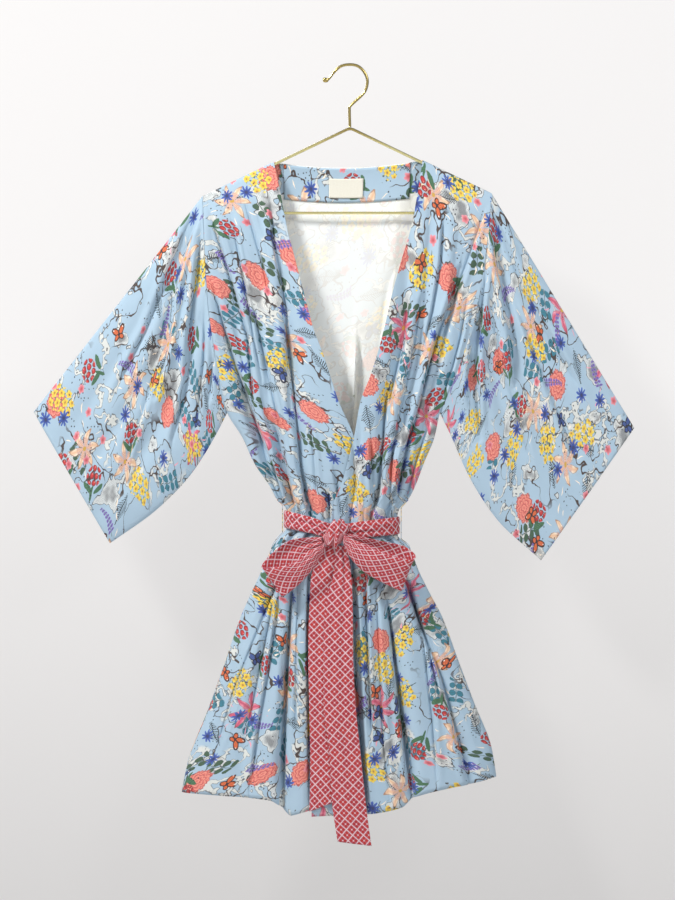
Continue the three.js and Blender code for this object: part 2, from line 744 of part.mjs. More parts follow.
function beltGrid() {
  const left = bodyX(-1, beltLevel) - belt.sideClear;
  const right = bodyX(1, beltLevel) + belt.sideClear;
  const frontDepth = crestDepth + readTable(bodyTable, 'level', 'front', beltLevel) + belt.frontClear;
  const backDepth = crestDepth + readTable(bodyTable, 'level', 'back', beltLevel) + belt.backClear;
  return beltBulge.map((bulge, r) => {
    const row = [];
    for (let i = 0; i < belt.columns; i += 1) {
      const turn = (2 * Math.PI * i) / belt.columns;
      const across = -Math.cos(turn);
      const isFront = Math.sin(turn) >= 0;
      const depth = (isFront ? frontDepth : backDepth) + bulge;
      const round = Math.sqrt(Math.max(0, 1 - Math.abs(across) ** flatness));
      const middle = isFront
        ? readTable(beltTable, 'across', 'level', across)
        : beltTable[0].level + ((beltTable[4].level - beltTable[0].level) * (across + 1)) / 2;
      const x = (left + right) / 2 + ((right - left) / 2 + bulge) * across;
      const down = (r / (beltBulge.length - 1) - 0.5) * belt.height;
      row.push(new THREE.Vector3(x, isFront ? -depth * round : depth * round, -middle - down));
    }
    return row;
  });
}

function knotGeometry() {
  const geometry = new THREE.SphereGeometry(1, knotSides, knotRings);
  const place = geometry.attributes.position;
  const boxy = (value) => Math.sign(value) * Math.abs(value) ** knot.boxiness;
  for (let i = 0; i < place.count; i += 1) {
    place.setXYZ(
      i,
      knot.x + boxy(place.getX(i)) * knot.halfWidth,
      knot.y + boxy(place.getZ(i)) * knot.halfDepth,
      knot.z + boxy(place.getY(i)) * knot.halfHeight,
    );
  }
  geometry.index.array.reverse();
  geometry.computeVertexNormals();
  return geometry;
}

// Way of a bow loop, seen from above: out in front, round its end, back behind.
function loopWay(reach) {
  const run = reach - loopEndRadius;
  const way = [];
  for (let i = 0; i <= loopRunSteps; i += 1) {
    const share = i / loopRunSteps;
    const half = loopRootHalfDepth + (loopEndRadius - loopRootHalfDepth) * smoothStep(share);
    way.push({ out: run * share, y: -half });
  }
  for (let i = 1; i < loopTurnSteps; i += 1) {
    const turn = Math.PI * (i / loopTurnSteps - 0.5);
    way.push({ out: run + loopEndRadius * Math.cos(turn), y: loopEndRadius * Math.sin(turn) });
  }
  const behind = way.slice(0, loopRunSteps + 1).map(({ out, y }) => ({ out, y: -y }));
  return [...way, ...behind.reverse()];
}

// A bow loop: the belt's width runs from upright at the knot to square at the end.
function bowLoopGrid(loop) {
  const root = new THREE.Vector3(loop.rootX, loopMiddleY, loop.rootZ);
  const outward = new THREE.Vector3(loop.endX - loop.rootX, 0, loop.endZ - loop.rootZ);
  const reach = outward.length();
  outward.normalize();
  const upright = new THREE.Vector3(0, 0, 1);
  const end = new THREE.Vector3(-outward.z, 0, outward.x);
  if (end.z < 0) end.negate();
  return loopWay(reach).map(({ out, y }) => {
    const share = out / reach;
    const across = upright.clone().lerp(end, smoothStep(share)).normalize();
    const width = loop.rootWidth + (loop.endWidth - loop.rootWidth) * share ** loopSpread;
    const row = [];
    for (let c = 0; c < loopColumns; c += 1) {
      const place = c / (loopColumns - 1) - 0.5;
      const point = root.clone().addScaledVector(outward, out).addScaledVector(across, place * width);
      point.y += y + Math.sign(y) * loopPucker * Math.cos(2 * Math.PI * place) * (1 - share);
      row.push(point);
    }
    return row;
  });
}

// A belt end, laid over the front from the knot down.
function tailGrid(tail) {
  const { rows, clear, endSlant } = tail;
  const first = rows[0].level;
  const last = rows[rows.length - 1].level;
  const grid = [];
  for (let r = 0; r <= tailRows; r += 1) {
    const share = r / tailRows;
    const level = first + (last - first) * share ** tailCrowding;
    const left = readTable(rows, 'level', 'left', level);
    const right = readTable(rows, 'level', 'right', level);
    const lift = readTable(rows, 'level', 'top', level);
    const depth = crestDepth + readTable(bodyTable, 'level', 'front', level);
    const row = [];
    for (let c = 0; c <= tailColumns; c += 1) {
      const across = c / tailColumns;
      const slant = endSlant * (across - 0.5) * smoothStep((share - 1 + tailEndShare) / tailEndShare);
      const cup = tailCup * Math.sin(Math.PI * across);
      row.push(new THREE.Vector3(left + (right - left) * across, -depth - clear - lift - cup, -level + slant));
    }
    grid.push(row);
  }
  return grid;
}

// A strip that holds the belt at a side seam. Its rows lie at the body's rows.
function beltLoopGrid(side) {
  const beltOuter = bodyX(side, beltLevel) + side * (belt.sideClear + beltThickness + beltLoop.outer);
  const levels = rowLevels.filter((level) => level >= beltLoop.topLevel && level <= beltLoop.bottomLevel);
  return levels.map((level) => {
    const cloth = bodyX(side, level) + side * beltLoop.clear;
    const x = side > 0 ? Math.max(cloth, beltOuter) : Math.min(cloth, beltOuter);
    const half = beltLoop.width / 2;
    return [-half, 0, half].map((y) => new THREE.Vector3(x, side > 0 ? y : -y, -level));
  });
}

const group = new THREE.Group();

function material(color, roughness, metalness) {
  return new THREE.MeshStandardMaterial({ color, roughness, metalness, side: THREE.DoubleSide });
}

function addPiece(name, geometry, look) {
  const mesh = new THREE.Mesh(geometry, look);
  mesh.name = name;
  group.add(mesh);
}

const printed = () => material(0xadc7dc, 0.8, 0);
const beltCloth = () => material(0xb9686c, 0.8, 0);
const brass = () => material(0xc8a850, 0.25, 1);

addPiece('back', wallGeometry(backGrid(), clothThickness, false), printed());
addPiece('front_under', wallGeometry(frontGrid(false), clothThickness, false), printed());
addPiece('front_over', wallGeometry(frontGrid(true), clothThickness, false), printed());
addPiece('sleeve_left', wallGeometry(sleeveGrid(sleeves.left), clothThickness, true), printed());
addPiece('sleeve_right', wallGeometry(sleeveGrid(sleeves.right), clothThickness, true), printed());
addPiece('back_neck_facing', wallGeometry(facingGrid(), facingThickness, false), printed());
addPiece('label', wallGeometry(labelGrid(), facingThickness, false), material(0xebe9dc, 0.9, 0));
addPiece('belt_band', wallGeometry(beltGrid(), beltThickness, true), beltCloth());
addPiece('belt_knot', knotGeometry(), beltCloth());
addPiece('bow_loop_left', wallGeometry(bowLoopGrid(bowLoops.left), beltThickness, false), beltCloth());
addPiece('bow_loop_right', wallGeometry(bowLoopGrid(bowLoops.right), beltThickness, false), beltCloth());
addPiece('belt_tail_short', wallGeometry(tailGrid(tails.short), beltThickness, false), beltCloth());
addPiece('belt_tail_long', wallGeometry(tailGrid(tails.long), beltThickness, false), beltCloth());
addPiece('belt_loop_left', wallGeometry(beltLoopGrid(-1), beltLoop.thickness, false), printed());
addPiece('belt_loop_right', wallGeometry(beltLoopGrid(1), beltLoop.thickness, false), printed());
addPiece('hanger_frame', hangerFrame(), brass());
addPiece('hanger_hook', hangerHook(), brass());

export default group;
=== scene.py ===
import math
import random
import bpy
import numpy as np
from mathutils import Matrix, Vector


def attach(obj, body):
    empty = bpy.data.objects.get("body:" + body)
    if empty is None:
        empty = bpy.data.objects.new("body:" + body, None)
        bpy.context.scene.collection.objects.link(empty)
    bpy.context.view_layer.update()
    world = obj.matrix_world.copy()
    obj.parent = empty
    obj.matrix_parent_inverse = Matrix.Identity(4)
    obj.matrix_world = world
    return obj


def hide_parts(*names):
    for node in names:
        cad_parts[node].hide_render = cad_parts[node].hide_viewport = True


# A short kimono of printed cotton with a tie belt, on a brass wire hanger.
# Shapes are worked out in millimetres and written to the meshes in metres.
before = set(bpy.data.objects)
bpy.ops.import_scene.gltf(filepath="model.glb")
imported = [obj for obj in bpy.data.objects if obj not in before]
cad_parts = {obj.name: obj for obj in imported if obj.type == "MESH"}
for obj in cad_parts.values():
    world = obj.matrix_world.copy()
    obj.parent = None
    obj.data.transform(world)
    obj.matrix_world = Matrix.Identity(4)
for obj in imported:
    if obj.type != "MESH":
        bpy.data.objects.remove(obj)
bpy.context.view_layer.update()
random.seed(11)
print("stage: frame loaded")

picture = {"perPixel": 1.4, "column": 349, "row": 66}  # place of the hook's top in the picture


def atPicture(places):
    # picture places to x and z in millimetres
    places = np.asarray(places, float)
    x = (places[:, 0] - picture["column"]) * picture["perPixel"]
    z = (picture["row"] - places[:, 1]) * picture["perPixel"]
    return np.stack([x, z], axis=1)


# Camera, lights and the wall behind, in millimetres where no unit is named.
room = {
    "lookX": -16.1, "lookZ": -537.6, "height": 1260, "distance": 4200, "sensor": 24,
    # the wall's glow strength is painted light on the wall
    "wallY": 130, "floorZ": -1750, "wallSize": 9000, "wallShare": 0.16, "paintedWallLight": 0.77,
    "airLight": {"From Min": -0.9, "From Max": 0.5, "To Min": 0.62, "To Max": 0.14},  # bright before the wall
    "airColour": (0.93, 0.95, 1.0, 1),
    "lights": [  # name, place and target in metres, size, power, colour
        ("windowLight", (-1.7, -1.4, 1.5), (0, 0, -0.15), 0.5, 78, (1.0, 0.99, 0.975)),
        ("fillLight", (1.9, -2.0, 1.3), (0.1, 0, -0.3), 0.9, 26, (0.95, 0.97, 1.0)),
        ("behindLight", (-1.2, 2.6, 0.9), (0, 0, -0.5), 1.8, 56, (1.0, 0.98, 0.96)),
    ],
}


def addCamera():
    data = bpy.data.cameras.new("pictureCamera")
    data.sensor_fit = "VERTICAL"
    data.sensor_height = room["sensor"]
    data.lens = room["sensor"] * room["distance"] / room["height"]
    data.clip_end = 60
    camera = bpy.data.objects.new("pictureCamera", data)
    bpy.context.collection.objects.link(camera)
    camera.location = (room["lookX"] / 1000, -room["distance"] / 1000, room["lookZ"] / 1000)
    camera.rotation_euler = (math.radians(90), 0, 0)
    bpy.context.scene.camera = camera


def addLight(name, place, target, size, power, colour):
    data = bpy.data.lights.new(name, "AREA")
    data.size = size
    data.energy = power
    data.color = colour
    light = bpy.data.objects.new(name, data)
    bpy.context.collection.objects.link(light)
    light.location = place
    light.rotation_euler = (Vector(target) - Vector(place)).to_track_quat("-Z", "Y").to_euler()


addCamera()
for light in room["lights"]:
    addLight(*light)
world = bpy.data.worlds.new("paleRoom")
world.use_nodes = True
nodes, join = world.node_tree.nodes, world.node_tree.links.new
around, direction, depthShade = (nodes.new("ShaderNode" + kind) for kind in ("TexCoord", "SeparateXYZ", "MapRange"))
join(around.outputs["Generated"], direction.inputs[0])
join(direction.outputs["Y"], depthShade.inputs["Value"])
for socket, value in room["airLight"].items():
    depthShade.inputs[socket].default_value = value
nodes["Background"].inputs["Color"].default_value = room["airColour"]
join(depthShade.outputs[0], nodes["Background"].inputs["Strength"])
bpy.context.scene.world = world
bpy.context.scene.view_settings.view_transform = "Standard"
print("stage: camera and lights")


# Smooth curve through a table, with no overshoot, for whole arrays of places.
def readTable(keys, values, place):
    keys = np.asarray(keys, float)
    values = np.asarray(values, float)
    rise = np.diff(values) / np.diff(keys)
    product = rise[:-1] * rise[1:]
    total = np.where(product > 0, rise[:-1] + rise[1:], 1)
    inner = np.where(product > 0, 2 * product / total, 0)
    tangent = np.concatenate([[rise[0]], inner, [rise[-1]]])
    place = np.clip(np.asarray(place, float), keys[0], keys[-1])
    i = np.clip(np.searchsorted(keys, place, side="right") - 1, 0, len(keys) - 2)
    span = keys[i + 1] - keys[i]
    t = (place - keys[i]) / span
    s = 1 - t
    return (values[i] * s * s * (1 + 2 * t) + values[i + 1] * t * t * (3 - 2 * t)
            + tangent[i] * span * t * s * s - tangent[i + 1] * span * t * t * s)


def readColumn(table, column, place):
    return readTable(table[:, 0], table[:, column], place)


def smoothStep(value):
    t = np.clip(value, 0, 1)
    return t * t * (3 - 2 * t)


def hill(value):
    return np.exp(-value ** 2)


def stacked(*parts):
    return np.stack(np.broadcast_arrays(*parts), axis=-1)


def downTo(first, last, count):
    # even steps as a column, to go with rows that run across
    return np.linspace(first, last, count)[:, None]


def fullTurn(count):
    return 2 * math.pi * np.arange(count) / count


# Widths and depths of the body by level, which is the distance below the origin.
body = {
    "shoulder": 182, "underarm": 485, "hem": 1016, "slopeFade": 160, "hemFade": 300,
    "crestHeight": 3.6, "crestDepth": 3.2, "armholeDepth": 14, "flatness": 2.6,
    "neckCentre": -1.3, "neckHalfWidth": 104, "neckSag": 8.6, "neckStand": 6, "neckTurn": 7,
    "neckFade": 80, "wrapStep": 4.8, "wrapRamp": 0.22, "underHemRise": 8,
    "apexX": 1.4, "apexLevel": 86.8, "armSlope": 0.48, "seamGap": 0.3, "thickness": 0.7,
    "foldSteep": 0.028, "foldSoft": 0.062,
}
bodyRows = np.array([
    [182, -204.4, 198.8, 0, 0], [194, -204, 198.4, 2.6, 2.2], [222, -203, 196.5, 8, 5.5],
    [262, -201.4, 191.5, 12, 8.5], [340, -196, 178.5, 17, 12], [420, -184, 154, 20, 14],
    [470, -174.6, 134, 22, 16], [485, -170.4, 127.2, 22.5, 16.5], [521, -148.4, 119, 24.5, 18.5],
    [555, -133, 105, 26, 20.5], [588, -110.6, 92.4, 26, 21.6], [606, -101, 83, 25.6, 22],
    [620, -87.4, 70, 25.4, 22], [634, -87, 67, 25.4, 22], [648, -87.4, 67, 25.4, 22],
    [658, -96, 68, 25.4, 22], [672, -106, 83, 26.6, 22.8], [706, -121.8, 97, 29.6, 24],
    [739, -137.2, 113, 31.6, 25], [773, -152, 130, 33, 26], [840, -175, 152.6, 34.6, 27.4],
    [907, -198.8, 175, 35.6, 28.4], [974, -225, 199, 36, 29], [1016, -233.8, 206, 36, 29],
])
edgeRows = np.array([  # free edges of the two fronts: level, under one, upper one
    [133, -105.4, 102.8], [188, -93.8, 94.2], [228, -86.4, 86.4], [270, -75.5, 73.8],
    [320, -62.4, 60.2], [370, -49, 48.4], [403, -36.4, 39.6], [437, -25.2, 28.6],
    [470, -14.4, 15.8], [519, 7, 7], [573, 20, -7], [622, 28, -23.8], [700, 32, -30],
    [840, 38, -42], [1016, 45, -52],
])
foldHeights = [300, 485, 634, 800, 1016]
frontFolds = [  # places across at five heights, depths there, and the steep side
    ([-0.8, -0.8, -0.93, -0.9, -0.88], [5, 8, 7, 3, 2], 1),
    ([-0.62, -0.6, -0.79, -0.69, -0.62], [2, 7, 12, 7, 5], 1),
    ([-0.46, -0.4, -0.57, -0.49, -0.35], [5, 8, 12, 13, 14], -1),
    ([0.2, 0.24, 0.15, 0.15, 0.15], [0, 1, 8, 10, 12], 1),
    ([0.46, 0.49, 0.53, 0.46, 0.455], [5, 8, 12, 13, 14], 1),
    ([0.6, 0.66, 0.78, 0.78, 0.83], [6, 8, 12, 7, 6], -1),
    ([0.8, 0.84, 0.94, 0.92, 0.93], [6, 8, 7, 3, 2], -1),
]
backFolds = [
    ([-0.82, -0.84, -0.93, -0.9, -0.88], [4, 7, 6, 3, 2], 1),
    ([-0.6, -0.62, -0.74, -0.68, -0.64], [3, 6, 11, 8, 7], -1),
    ([-0.34, -0.38, -0.5, -0.44, -0.36], [1, 4, 12, 9, 11], 1),
    ([-0.14, -0.16, -0.2, -0.18, -0.12], [0, 2, 11, 8, 7], 1),
    ([0.12, 0.1, 0.12, 0.14, 0.17], [0, 3, 12, 9, 10], -1),
    ([0.36, 0.38, 0.44, 0.4, 0.43], [1, 5, 11, 8, 8], 1),
    ([0.6, 0.63, 0.72, 0.69, 0.66], [3, 6, 11, 8, 7], 1),
    ([0.82, 0.85, 0.93, 0.91, 0.9], [4, 7, 6, 3, 2], -1),
]
hemRows = np.array([  # place across, hem level of the fronts, hem level of the back
    [-1, 1016, 1014], [-0.7, 1019, 1012], [-0.44, 1024, 1010], [-0.37, 1033, 1010],
    [-0.3, 1049, 1009], [-0.15, 1046, 1008], [0.18, 1043, 1006], [0.4, 1034, 1003],
    [0.47, 1021, 1002], [0.67, 1009, 1000], [0.85, 1002, 998], [1, 994, 995],
])


def bodySides(level):
    return readColumn(bodyRows, 1, level), readColumn(bodyRows, 2, level)


def bodyDepth(level, isBack=False):
    return readColumn(bodyRows, 4 if isBack else 3, level)


def bodyX(across, level):
    left, right = bodySides(level)
    return left + (right - left) * (across + 1) / 2


def acrossAt(x, level):
    left, right = bodySides(level)
    return 2 * (x - left) / (right - left) - 1


def shoulderZ(x):
    return body["crestHeight"] - body["apexLevel"] - np.abs(x - body["apexX"]) * body["armSlope"]


def neckShare(x):
    return np.maximum(0, 1 - (np.abs(x - body["neckCentre"]) / body["neckHalfWidth"]) ** 2)


def neckTurned(x):
    inside = body["neckHalfWidth"] - np.abs(x - body["neckCentre"])
    return np.sin(math.pi / 2 * np.clip(inside / body["neckTurn"], 0, 1))


def topZ(x, isBack):
    plain = shoulderZ(x)
    if not isBack:
        return plain
    low = body["neckCentre"] - body["neckHalfWidth"]
    high = body["neckCentre"] + body["neckHalfWidth"]
    share = (x - low) / (high - low)
    neck = shoulderZ(low) + (shoulderZ(high) - shoulderZ(low)) * share - body["neckSag"] * neckShare(x)
    return np.where(neckShare(x) > 0, neck, plain)


def nearHem(level):
    return smoothStep((level - body["hem"] + body["hemFade"]) / body["hemFade"])


def bodyZ(across, level, isBack):
    slope = 1 - smoothStep((level - body["shoulder"]) / body["slopeFade"])
    hem = readColumn(hemRows, 2 if isBack else 1, across)
    top = topZ(bodyX(across, level), isBack)
    return -level + (top + body["shoulder"]) * slope - (hem - body["hem"]) * nearHem(level)


def foldDepth(folds, across, level):
    drawn = np.zeros_like(across)
    for places, depths, steep in folds:
        away = (across - readTable(foldHeights, places, level)) * steep
        width = np.where(away > 0, body["foldSteep"], body["foldSoft"])
        drawn = np.maximum(drawn, readTable(foldHeights, depths, level) * hill(away / width))
    return drawn * smoothStep((level - body["shoulder"]) / (foldHeights[0] - body["shoulder"]))


def bodySurface(across, level, isBack):
    # middle of the cloth, as rows by columns by x, y and z
    x = bodyX(across, level)
    drop = level - body["shoulder"]
    turned = neckTurned(x) if isBack else 0
    crest = body["crestDepth"] * np.sqrt(1 - (1 - np.clip(drop / body["crestHeight"], 0, 1)) ** 2)
    depth = crest * (1 - turned) + body["crestDepth"] * turned + bodyDepth(level, isBack)
    c = np.clip(drop / (body["underarm"] - body["shoulder"]), 0, 1)
    edge = 2 * body["armholeDepth"] * np.sqrt(c * (1 - c))
    around = np.maximum(0, 1 - np.abs(across) ** body["flatness"])
    y = np.sqrt(edge ** 2 + (depth ** 2 - edge ** 2) * around)
    y = y - foldDepth(backFolds if isBack else frontFolds, across, level) * np.sqrt(around)
    if isBack:
        y = y + body["neckStand"] * neckShare(x) * (1 - smoothStep(drop / body["neckFade"]))
    y = np.maximum(y, body["seamGap"] / 2)
    return stacked(x, y if isBack else -y, bodyZ(across, level, isBack))


# A crease is a line of places with a depth and a width. It draws the cloth in along
# the line, steeply on one side, and lifts a soft ridge on the other.
creaseLook = {
    "depth": 2.1, "steep": 0.3, "soft": 1.5, "ridge": 0.6, "ridgeAt": 0.8, "slot": 0.9, "slotWidth": 1.9,
    "fade": 0.18,  # share of a crease's length over which each end runs out
    "gathers": 2.2, "gatherSpacing": 5.4, "gatherReach": 30, "gatherLevel": 642,
}


def addGathers(grid, level, seed, inward):
    # short puckers where the belt draws the cloth together
    rng = random.Random(seed)
    x = grid[..., 0]
    phase = x / creaseLook["gatherSpacing"] + 1.6 * np.sin(x * 0.083 + rng.uniform(0, 6)) + 0.9 * np.sin(x * 0.031)
    away = np.maximum(0, np.abs(level - creaseLook["gatherLevel"]) - 10)
    reach = creaseLook["gatherReach"] * (1 + 0.5 * np.sin(x * 0.19 + rng.uniform(0, 6)))
    grid[..., 1] += inward * creaseLook["gathers"] * (1 - np.abs(np.sin(phase))) ** 1.5 * np.exp(-away / reach)


def addCreases(grid, creases, inward):
    x, z = grid[..., 0], grid[..., 2]
    moved = np.zeros_like(x)
    for line, depth, width in creases:
        best = np.full(x.shape, 1e9)
        side = np.zeros_like(x)
        along = np.zeros_like(x)
        lengths = np.linalg.norm(np.diff(line, axis=0), axis=1)
        total = lengths.sum()
        before = 0
        for a, b, length in zip(line[:-1], line[1:], lengths):
            step = (b - a) / length
            t = np.clip((x - a[0]) * step[0] + (z - a[1]) * step[1], 0, length)
            dx = x - a[0] - t * step[0]
            dz = z - a[1] - t * step[1]
            far = np.hypot(dx, dz)
            near = far < best
            best = np.where(near, far, best)
            side = np.where(near, step[0] * dz - step[1] * dx, side)
            along = np.where(near, (before + t) / total, along)
            before += length
        signed = np.where(side > 0, best, -best) * np.sign(width)
        wide = abs(width)
        valley = hill(signed / (wide * np.where(signed > 0, creaseLook["steep"], creaseLook["soft"])))
        ridge = creaseLook["ridge"] * hill((signed - wide * creaseLook["ridgeAt"]) / (wide * 0.6))
        slot = creaseLook["slot"] * hill(signed / creaseLook["slotWidth"])
        ends = smoothStep(along / creaseLook["fade"]) * smoothStep((1 - along) / creaseLook["fade"])
        nearby = np.exp(-np.maximum(0, best - 4 * wide))
        moved += creaseLook["depth"] * depth * (valley + slot - ridge) * (0.25 + 0.75 * ends) * nearby
    grid[..., 1] += inward * moved


def addUnevenness(grid, seed, height, direction):
    # long soft waves that keep a hand-made look where no crease is placed
    rng = random.Random(seed)
    x, z = grid[..., 0], grid[..., 2]
    wave = np.zeros_like(x)
    for _ in range(9):
        across = rng.uniform(0.03, 0.11)
        down = rng.uniform(-0.012, 0.012)
        wave += np.sin(x * across + z * down + rng.uniform(0, 6.28) + 0.8 * np.sin(z * 0.011 + rng.uniform(0, 6.28)))
    grid[..., 1] += direction * wave * height / 3


def lengthsAlong(grid, axis=0):
    # running length of the cloth along rows or columns, or of a line
    steps = np.linalg.norm(np.diff(grid, axis=axis), axis=-1)
    start = np.zeros_like(np.take(steps, [0], axis=axis))
    return np.concatenate([start, np.cumsum(steps, axis=axis)], axis=axis)


def joined(grid):
    # a tube's cloth with its first column again at the end
    return np.concatenate([grid, grid[:, :1]], axis=1)


def standsFor(piece, node):
    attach(piece, "root")
    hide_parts(node)
    return piece


def newPiece(name, points, faces, materials, smooth=True):
    mesh = bpy.data.meshes.new(name)
    mesh.from_pydata((np.asarray(points, float) / 1000).tolist(), [], faces)
    mesh.polygons.foreach_set("use_smooth", np.full(len(mesh.polygons), smooth, dtype=bool))
    for material in materials:
        mesh.materials.append(material)
    piece = bpy.data.objects.new(name, mesh)
    bpy.context.collection.objects.link(piece)
    return piece


def clothPiece(name, node, slot, grid, uv, materials, thickness, closed=False, flip=False):
    # a thin shell over a grid of places, with its outer and inner side
    rows, columns = grid.shape[:2]
    index = np.arange(rows * columns).reshape(rows, columns)
    if closed:
        index = joined(index)
    quads = np.stack([index[:-1, :-1], index[1:, :-1], index[1:, 1:], index[:-1, 1:]], axis=-1)
    corners = np.stack([uv[:-1, :-1], uv[1:, :-1], uv[1:, 1:], uv[:-1, 1:]], axis=2)
    if flip:
        quads = quads[..., ::-1]
        corners = corners[:, :, ::-1]
    piece = newPiece(name, grid.reshape(-1, 3), quads.reshape(-1, 4).tolist(), materials)
    piece.data.uv_layers.new(name="cloth").data.foreach_set("uv", corners.reshape(-1).astype(np.float32))
    shell = piece.modifiers.new("clothThickness", "SOLIDIFY")
    shell.thickness = thickness / 1000
    shell.offset = 0
    shell.material_offset = 1 if len(materials) > 1 else 0
    return standsFor(piece, node)


# A number in a material's nodes, so that plain sums can be written with it.
class NodeNumber:
    tree = None

    def __init__(self, socket):
        self.socket = socket

    def __add__(self, other):
        return calc("ADD", self, other)

    def __sub__(self, other):
        return calc("SUBTRACT", self, other)

    def __rsub__(self, other):
        return calc("SUBTRACT", other, self)

    def __mul__(self, other):
        return calc("MULTIPLY", self, other)

    def __truediv__(self, other):
        return calc("DIVIDE", self, other)

    __radd__ = __add__
    __rmul__ = __mul__


def connect(value, socket):
    if isinstance(value, NodeNumber):
        NodeNumber.tree.links.new(value.socket, socket)
    elif isinstance(value, (tuple, list)):
        socket.default_value = tuple(value) if len(value) == len(socket.default_value) else (*value, 1)
    else:
        socket.default_value = value


def addNode(kind):
    return NodeNumber.tree.nodes.new("ShaderNode" + kind)


def split(value):
    # x, y and z of a place, or the three parts of a colour
    node = addNode("SeparateXYZ")
    connect(value, node.inputs[0])
    return [NodeNumber(part) for part in node.outputs]


def calc(operation, first, second=0.0, third=0.0, clamped=False):
    node = addNode("Math")
    node.operation = operation
    node.use_clamp = clamped
    for value, socket in zip((first, second, third), node.inputs):
        connect(value, socket)
    return NodeNumber(node.outputs[0])


def within(distance, softness=0.04):
    # one inside a shape, zero outside, with a narrow soft edge
    return calc("MULTIPLY_ADD", distance, -1 / softness, 0.5, clamped=True)


def nearZero(value, reach, softness):
    return within(calc("ABSOLUTE", value) - reach, softness)


def ramp(value, slope, start=0.0):
    # straight rise that stays between zero and one
    return calc("MULTIPLY_ADD", value, slope, start, clamped=True)


def lower(first, second):
    return calc("MINIMUM", first, second)


def higher(first, second):
    return calc("MAXIMUM", first, second)


def size(x, y):
    return calc("SQRT", x * x + y * y)


def fraction(value):
    return calc("FRACT", value)


def absolute(value):
    return calc("ABSOLUTE", value)


def sine(value):
    return calc("SINE", value)


def mixColour(under, over, share):
    node = addNode("Mix")
    node.data_type = "RGBA"
    connect(share, node.inputs[0])
    connect(under, node.inputs[6])
    connect(over, node.inputs[7])
    return NodeNumber(node.outputs[2])


def rgb(red, green, blue):
    # screen colour to the light values that a shader takes
    def light(value):
        value /= 255
        return value / 12.92 if value <= 0.04045 else ((value + 0.055) / 1.055) ** 2.4
    return (light(red), light(green), light(blue))


def newMaterial(name, roughness, sheen=0.0, metallic=0.0):
    material = bpy.data.materials.new(name)
    material.use_nodes = True
    NodeNumber.tree = material.node_tree
    shader = material.node_tree.nodes["Principled BSDF"]
    shader.inputs["Roughness"].default_value = roughness
    shader.inputs["Metallic"].default_value = metallic
    shader.inputs["Sheen Weight"].default_value = sheen
    return material, shader


def clothPlace():
    # place on the cloth in millimetres
    node = addNode("UVMap")
    node.uv_map = "cloth"
    u, v, _ = split(NodeNumber(node.outputs[0]))
    return u * 1000.0, v * 1000.0


def objectPlace():
    return NodeNumber(addNode("TexCoord").outputs["Object"])


def together(x, y, z=0.0):
    node = addNode("CombineXYZ")
    for value, socket in zip((x, y, z), node.inputs):
        connect(value, socket)
    return NodeNumber(node.outputs[0])


def randomThree(x, y, seed):
    node = addNode("TexWhiteNoise")
    node.noise_dimensions = "3D"
    connect(together(x, y, float(seed)), node.inputs["Vector"])
    return [NodeNumber(node.outputs["Value"])] + split(NodeNumber(node.outputs["Color"]))


def noise(vector, scale, detail=2.0, roughness=0.5, output=0):
    node = addNode("TexNoise")
    for socket, value in (("Vector", vector), ("Scale", scale), ("Detail", detail), ("Roughness", roughness)):
        connect(value, node.inputs[socket])
    return NodeNumber(node.outputs[output])


def scatter(u, v, cell, turn, jitter, seed, spin):
    # cells of a staggered grid: place in the cell, turned at random, in millimetres
    c, s = math.cos(turn), math.sin(turn)
    a = (u * c + v * s) / cell
    b = (v * c - u * s) / cell
    row = calc("FLOOR", b)
    a = a + row * 0.5
    column = calc("FLOOR", a)
    first, second, third, fourth = randomThree(column, row, seed)
    x = (fraction(a) - 0.5 + (second - 0.5) * jitter) * cell
    y = (fraction(b) - 0.5 + (third - 0.5) * jitter) * cell
    angle = fourth * spin
    cosine, sining = calc("COSINE", angle), sine(angle)
    return x * cosine + y * sining, y * cosine - x * sining, first, second


def wander(u, v, scale, reach):
    # shifts places a little, so that drawn shapes are never regular
    right, up, _ = split(noise(together(u, v), scale, output="Color"))
    return u + (right - 0.5) * reach, v + (up - 0.5) * reach


def petalAngle(x, y, petals):
    # angle from the nearest petal's middle line
    angle = calc("ARCTAN2", y, x) * (petals / 6.2832)
    return (fraction(angle + 0.5) - 0.5) * (6.2832 / petals)


def bump(height, strength, distance):
    node = addNode("Bump")
    for socket, value in (("Strength", strength), ("Distance", distance), ("Height", height)):
        connect(value, node.inputs[socket])
    return NodeNumber(node.outputs[0])


def weave(u, v, thread=0.32):
    # plain weave: threads over and under each other
    a = sine(u * (3.1416 / thread))
    b = sine(v * (3.1416 / thread))
    return bump(a * b + noise(together(u, v), 0.9, 3.0) * 0.6, 0.18, 0.0004)


def paint(colour, *layers):
    # each layer is (share, colour), laid over the ones before it
    for share, over in layers:
        colour = mixColour(colour, over, share)
    return colour


# Each motif gives a list of (share, colour) layers, laid over the cloth in turn.
def carnation(x, y, radius, warm, cool):
    # frilled petals in rings, with fine rays
    far = size(x, y)
    angle = calc("ARCTAN2", y, x)
    frill = 0.80 + 0.12 * absolute(sine(angle * 4.5)) + 0.08 * absolute(sine(angle * 13.0))
    q = far / (frill * radius)
    inner = 0.74 + 0.26 * absolute(sine(angle * 3.5 + far * 0.12))
    rings = fraction(far / (inner * radius) * 3.4 + 0.2)
    rays = absolute(sine(angle * 17.0 + sine(far * 0.5) * 1.5))
    colour = paint(warm, (ramp(rings, 0.9), cool), (within(rings - 0.12, 0.14) * 0.6, (0.34, 0.03, 0.03)),
                   (within(rays - 0.22, 0.2) * 0.35, (0.55, 0.06, 0.06)))
    return [(within(q - 1, 0.06), colour), (nearZero(q - 0.96, 0.03, 0.03) * 0.6, (0.26, 0.03, 0.04))]


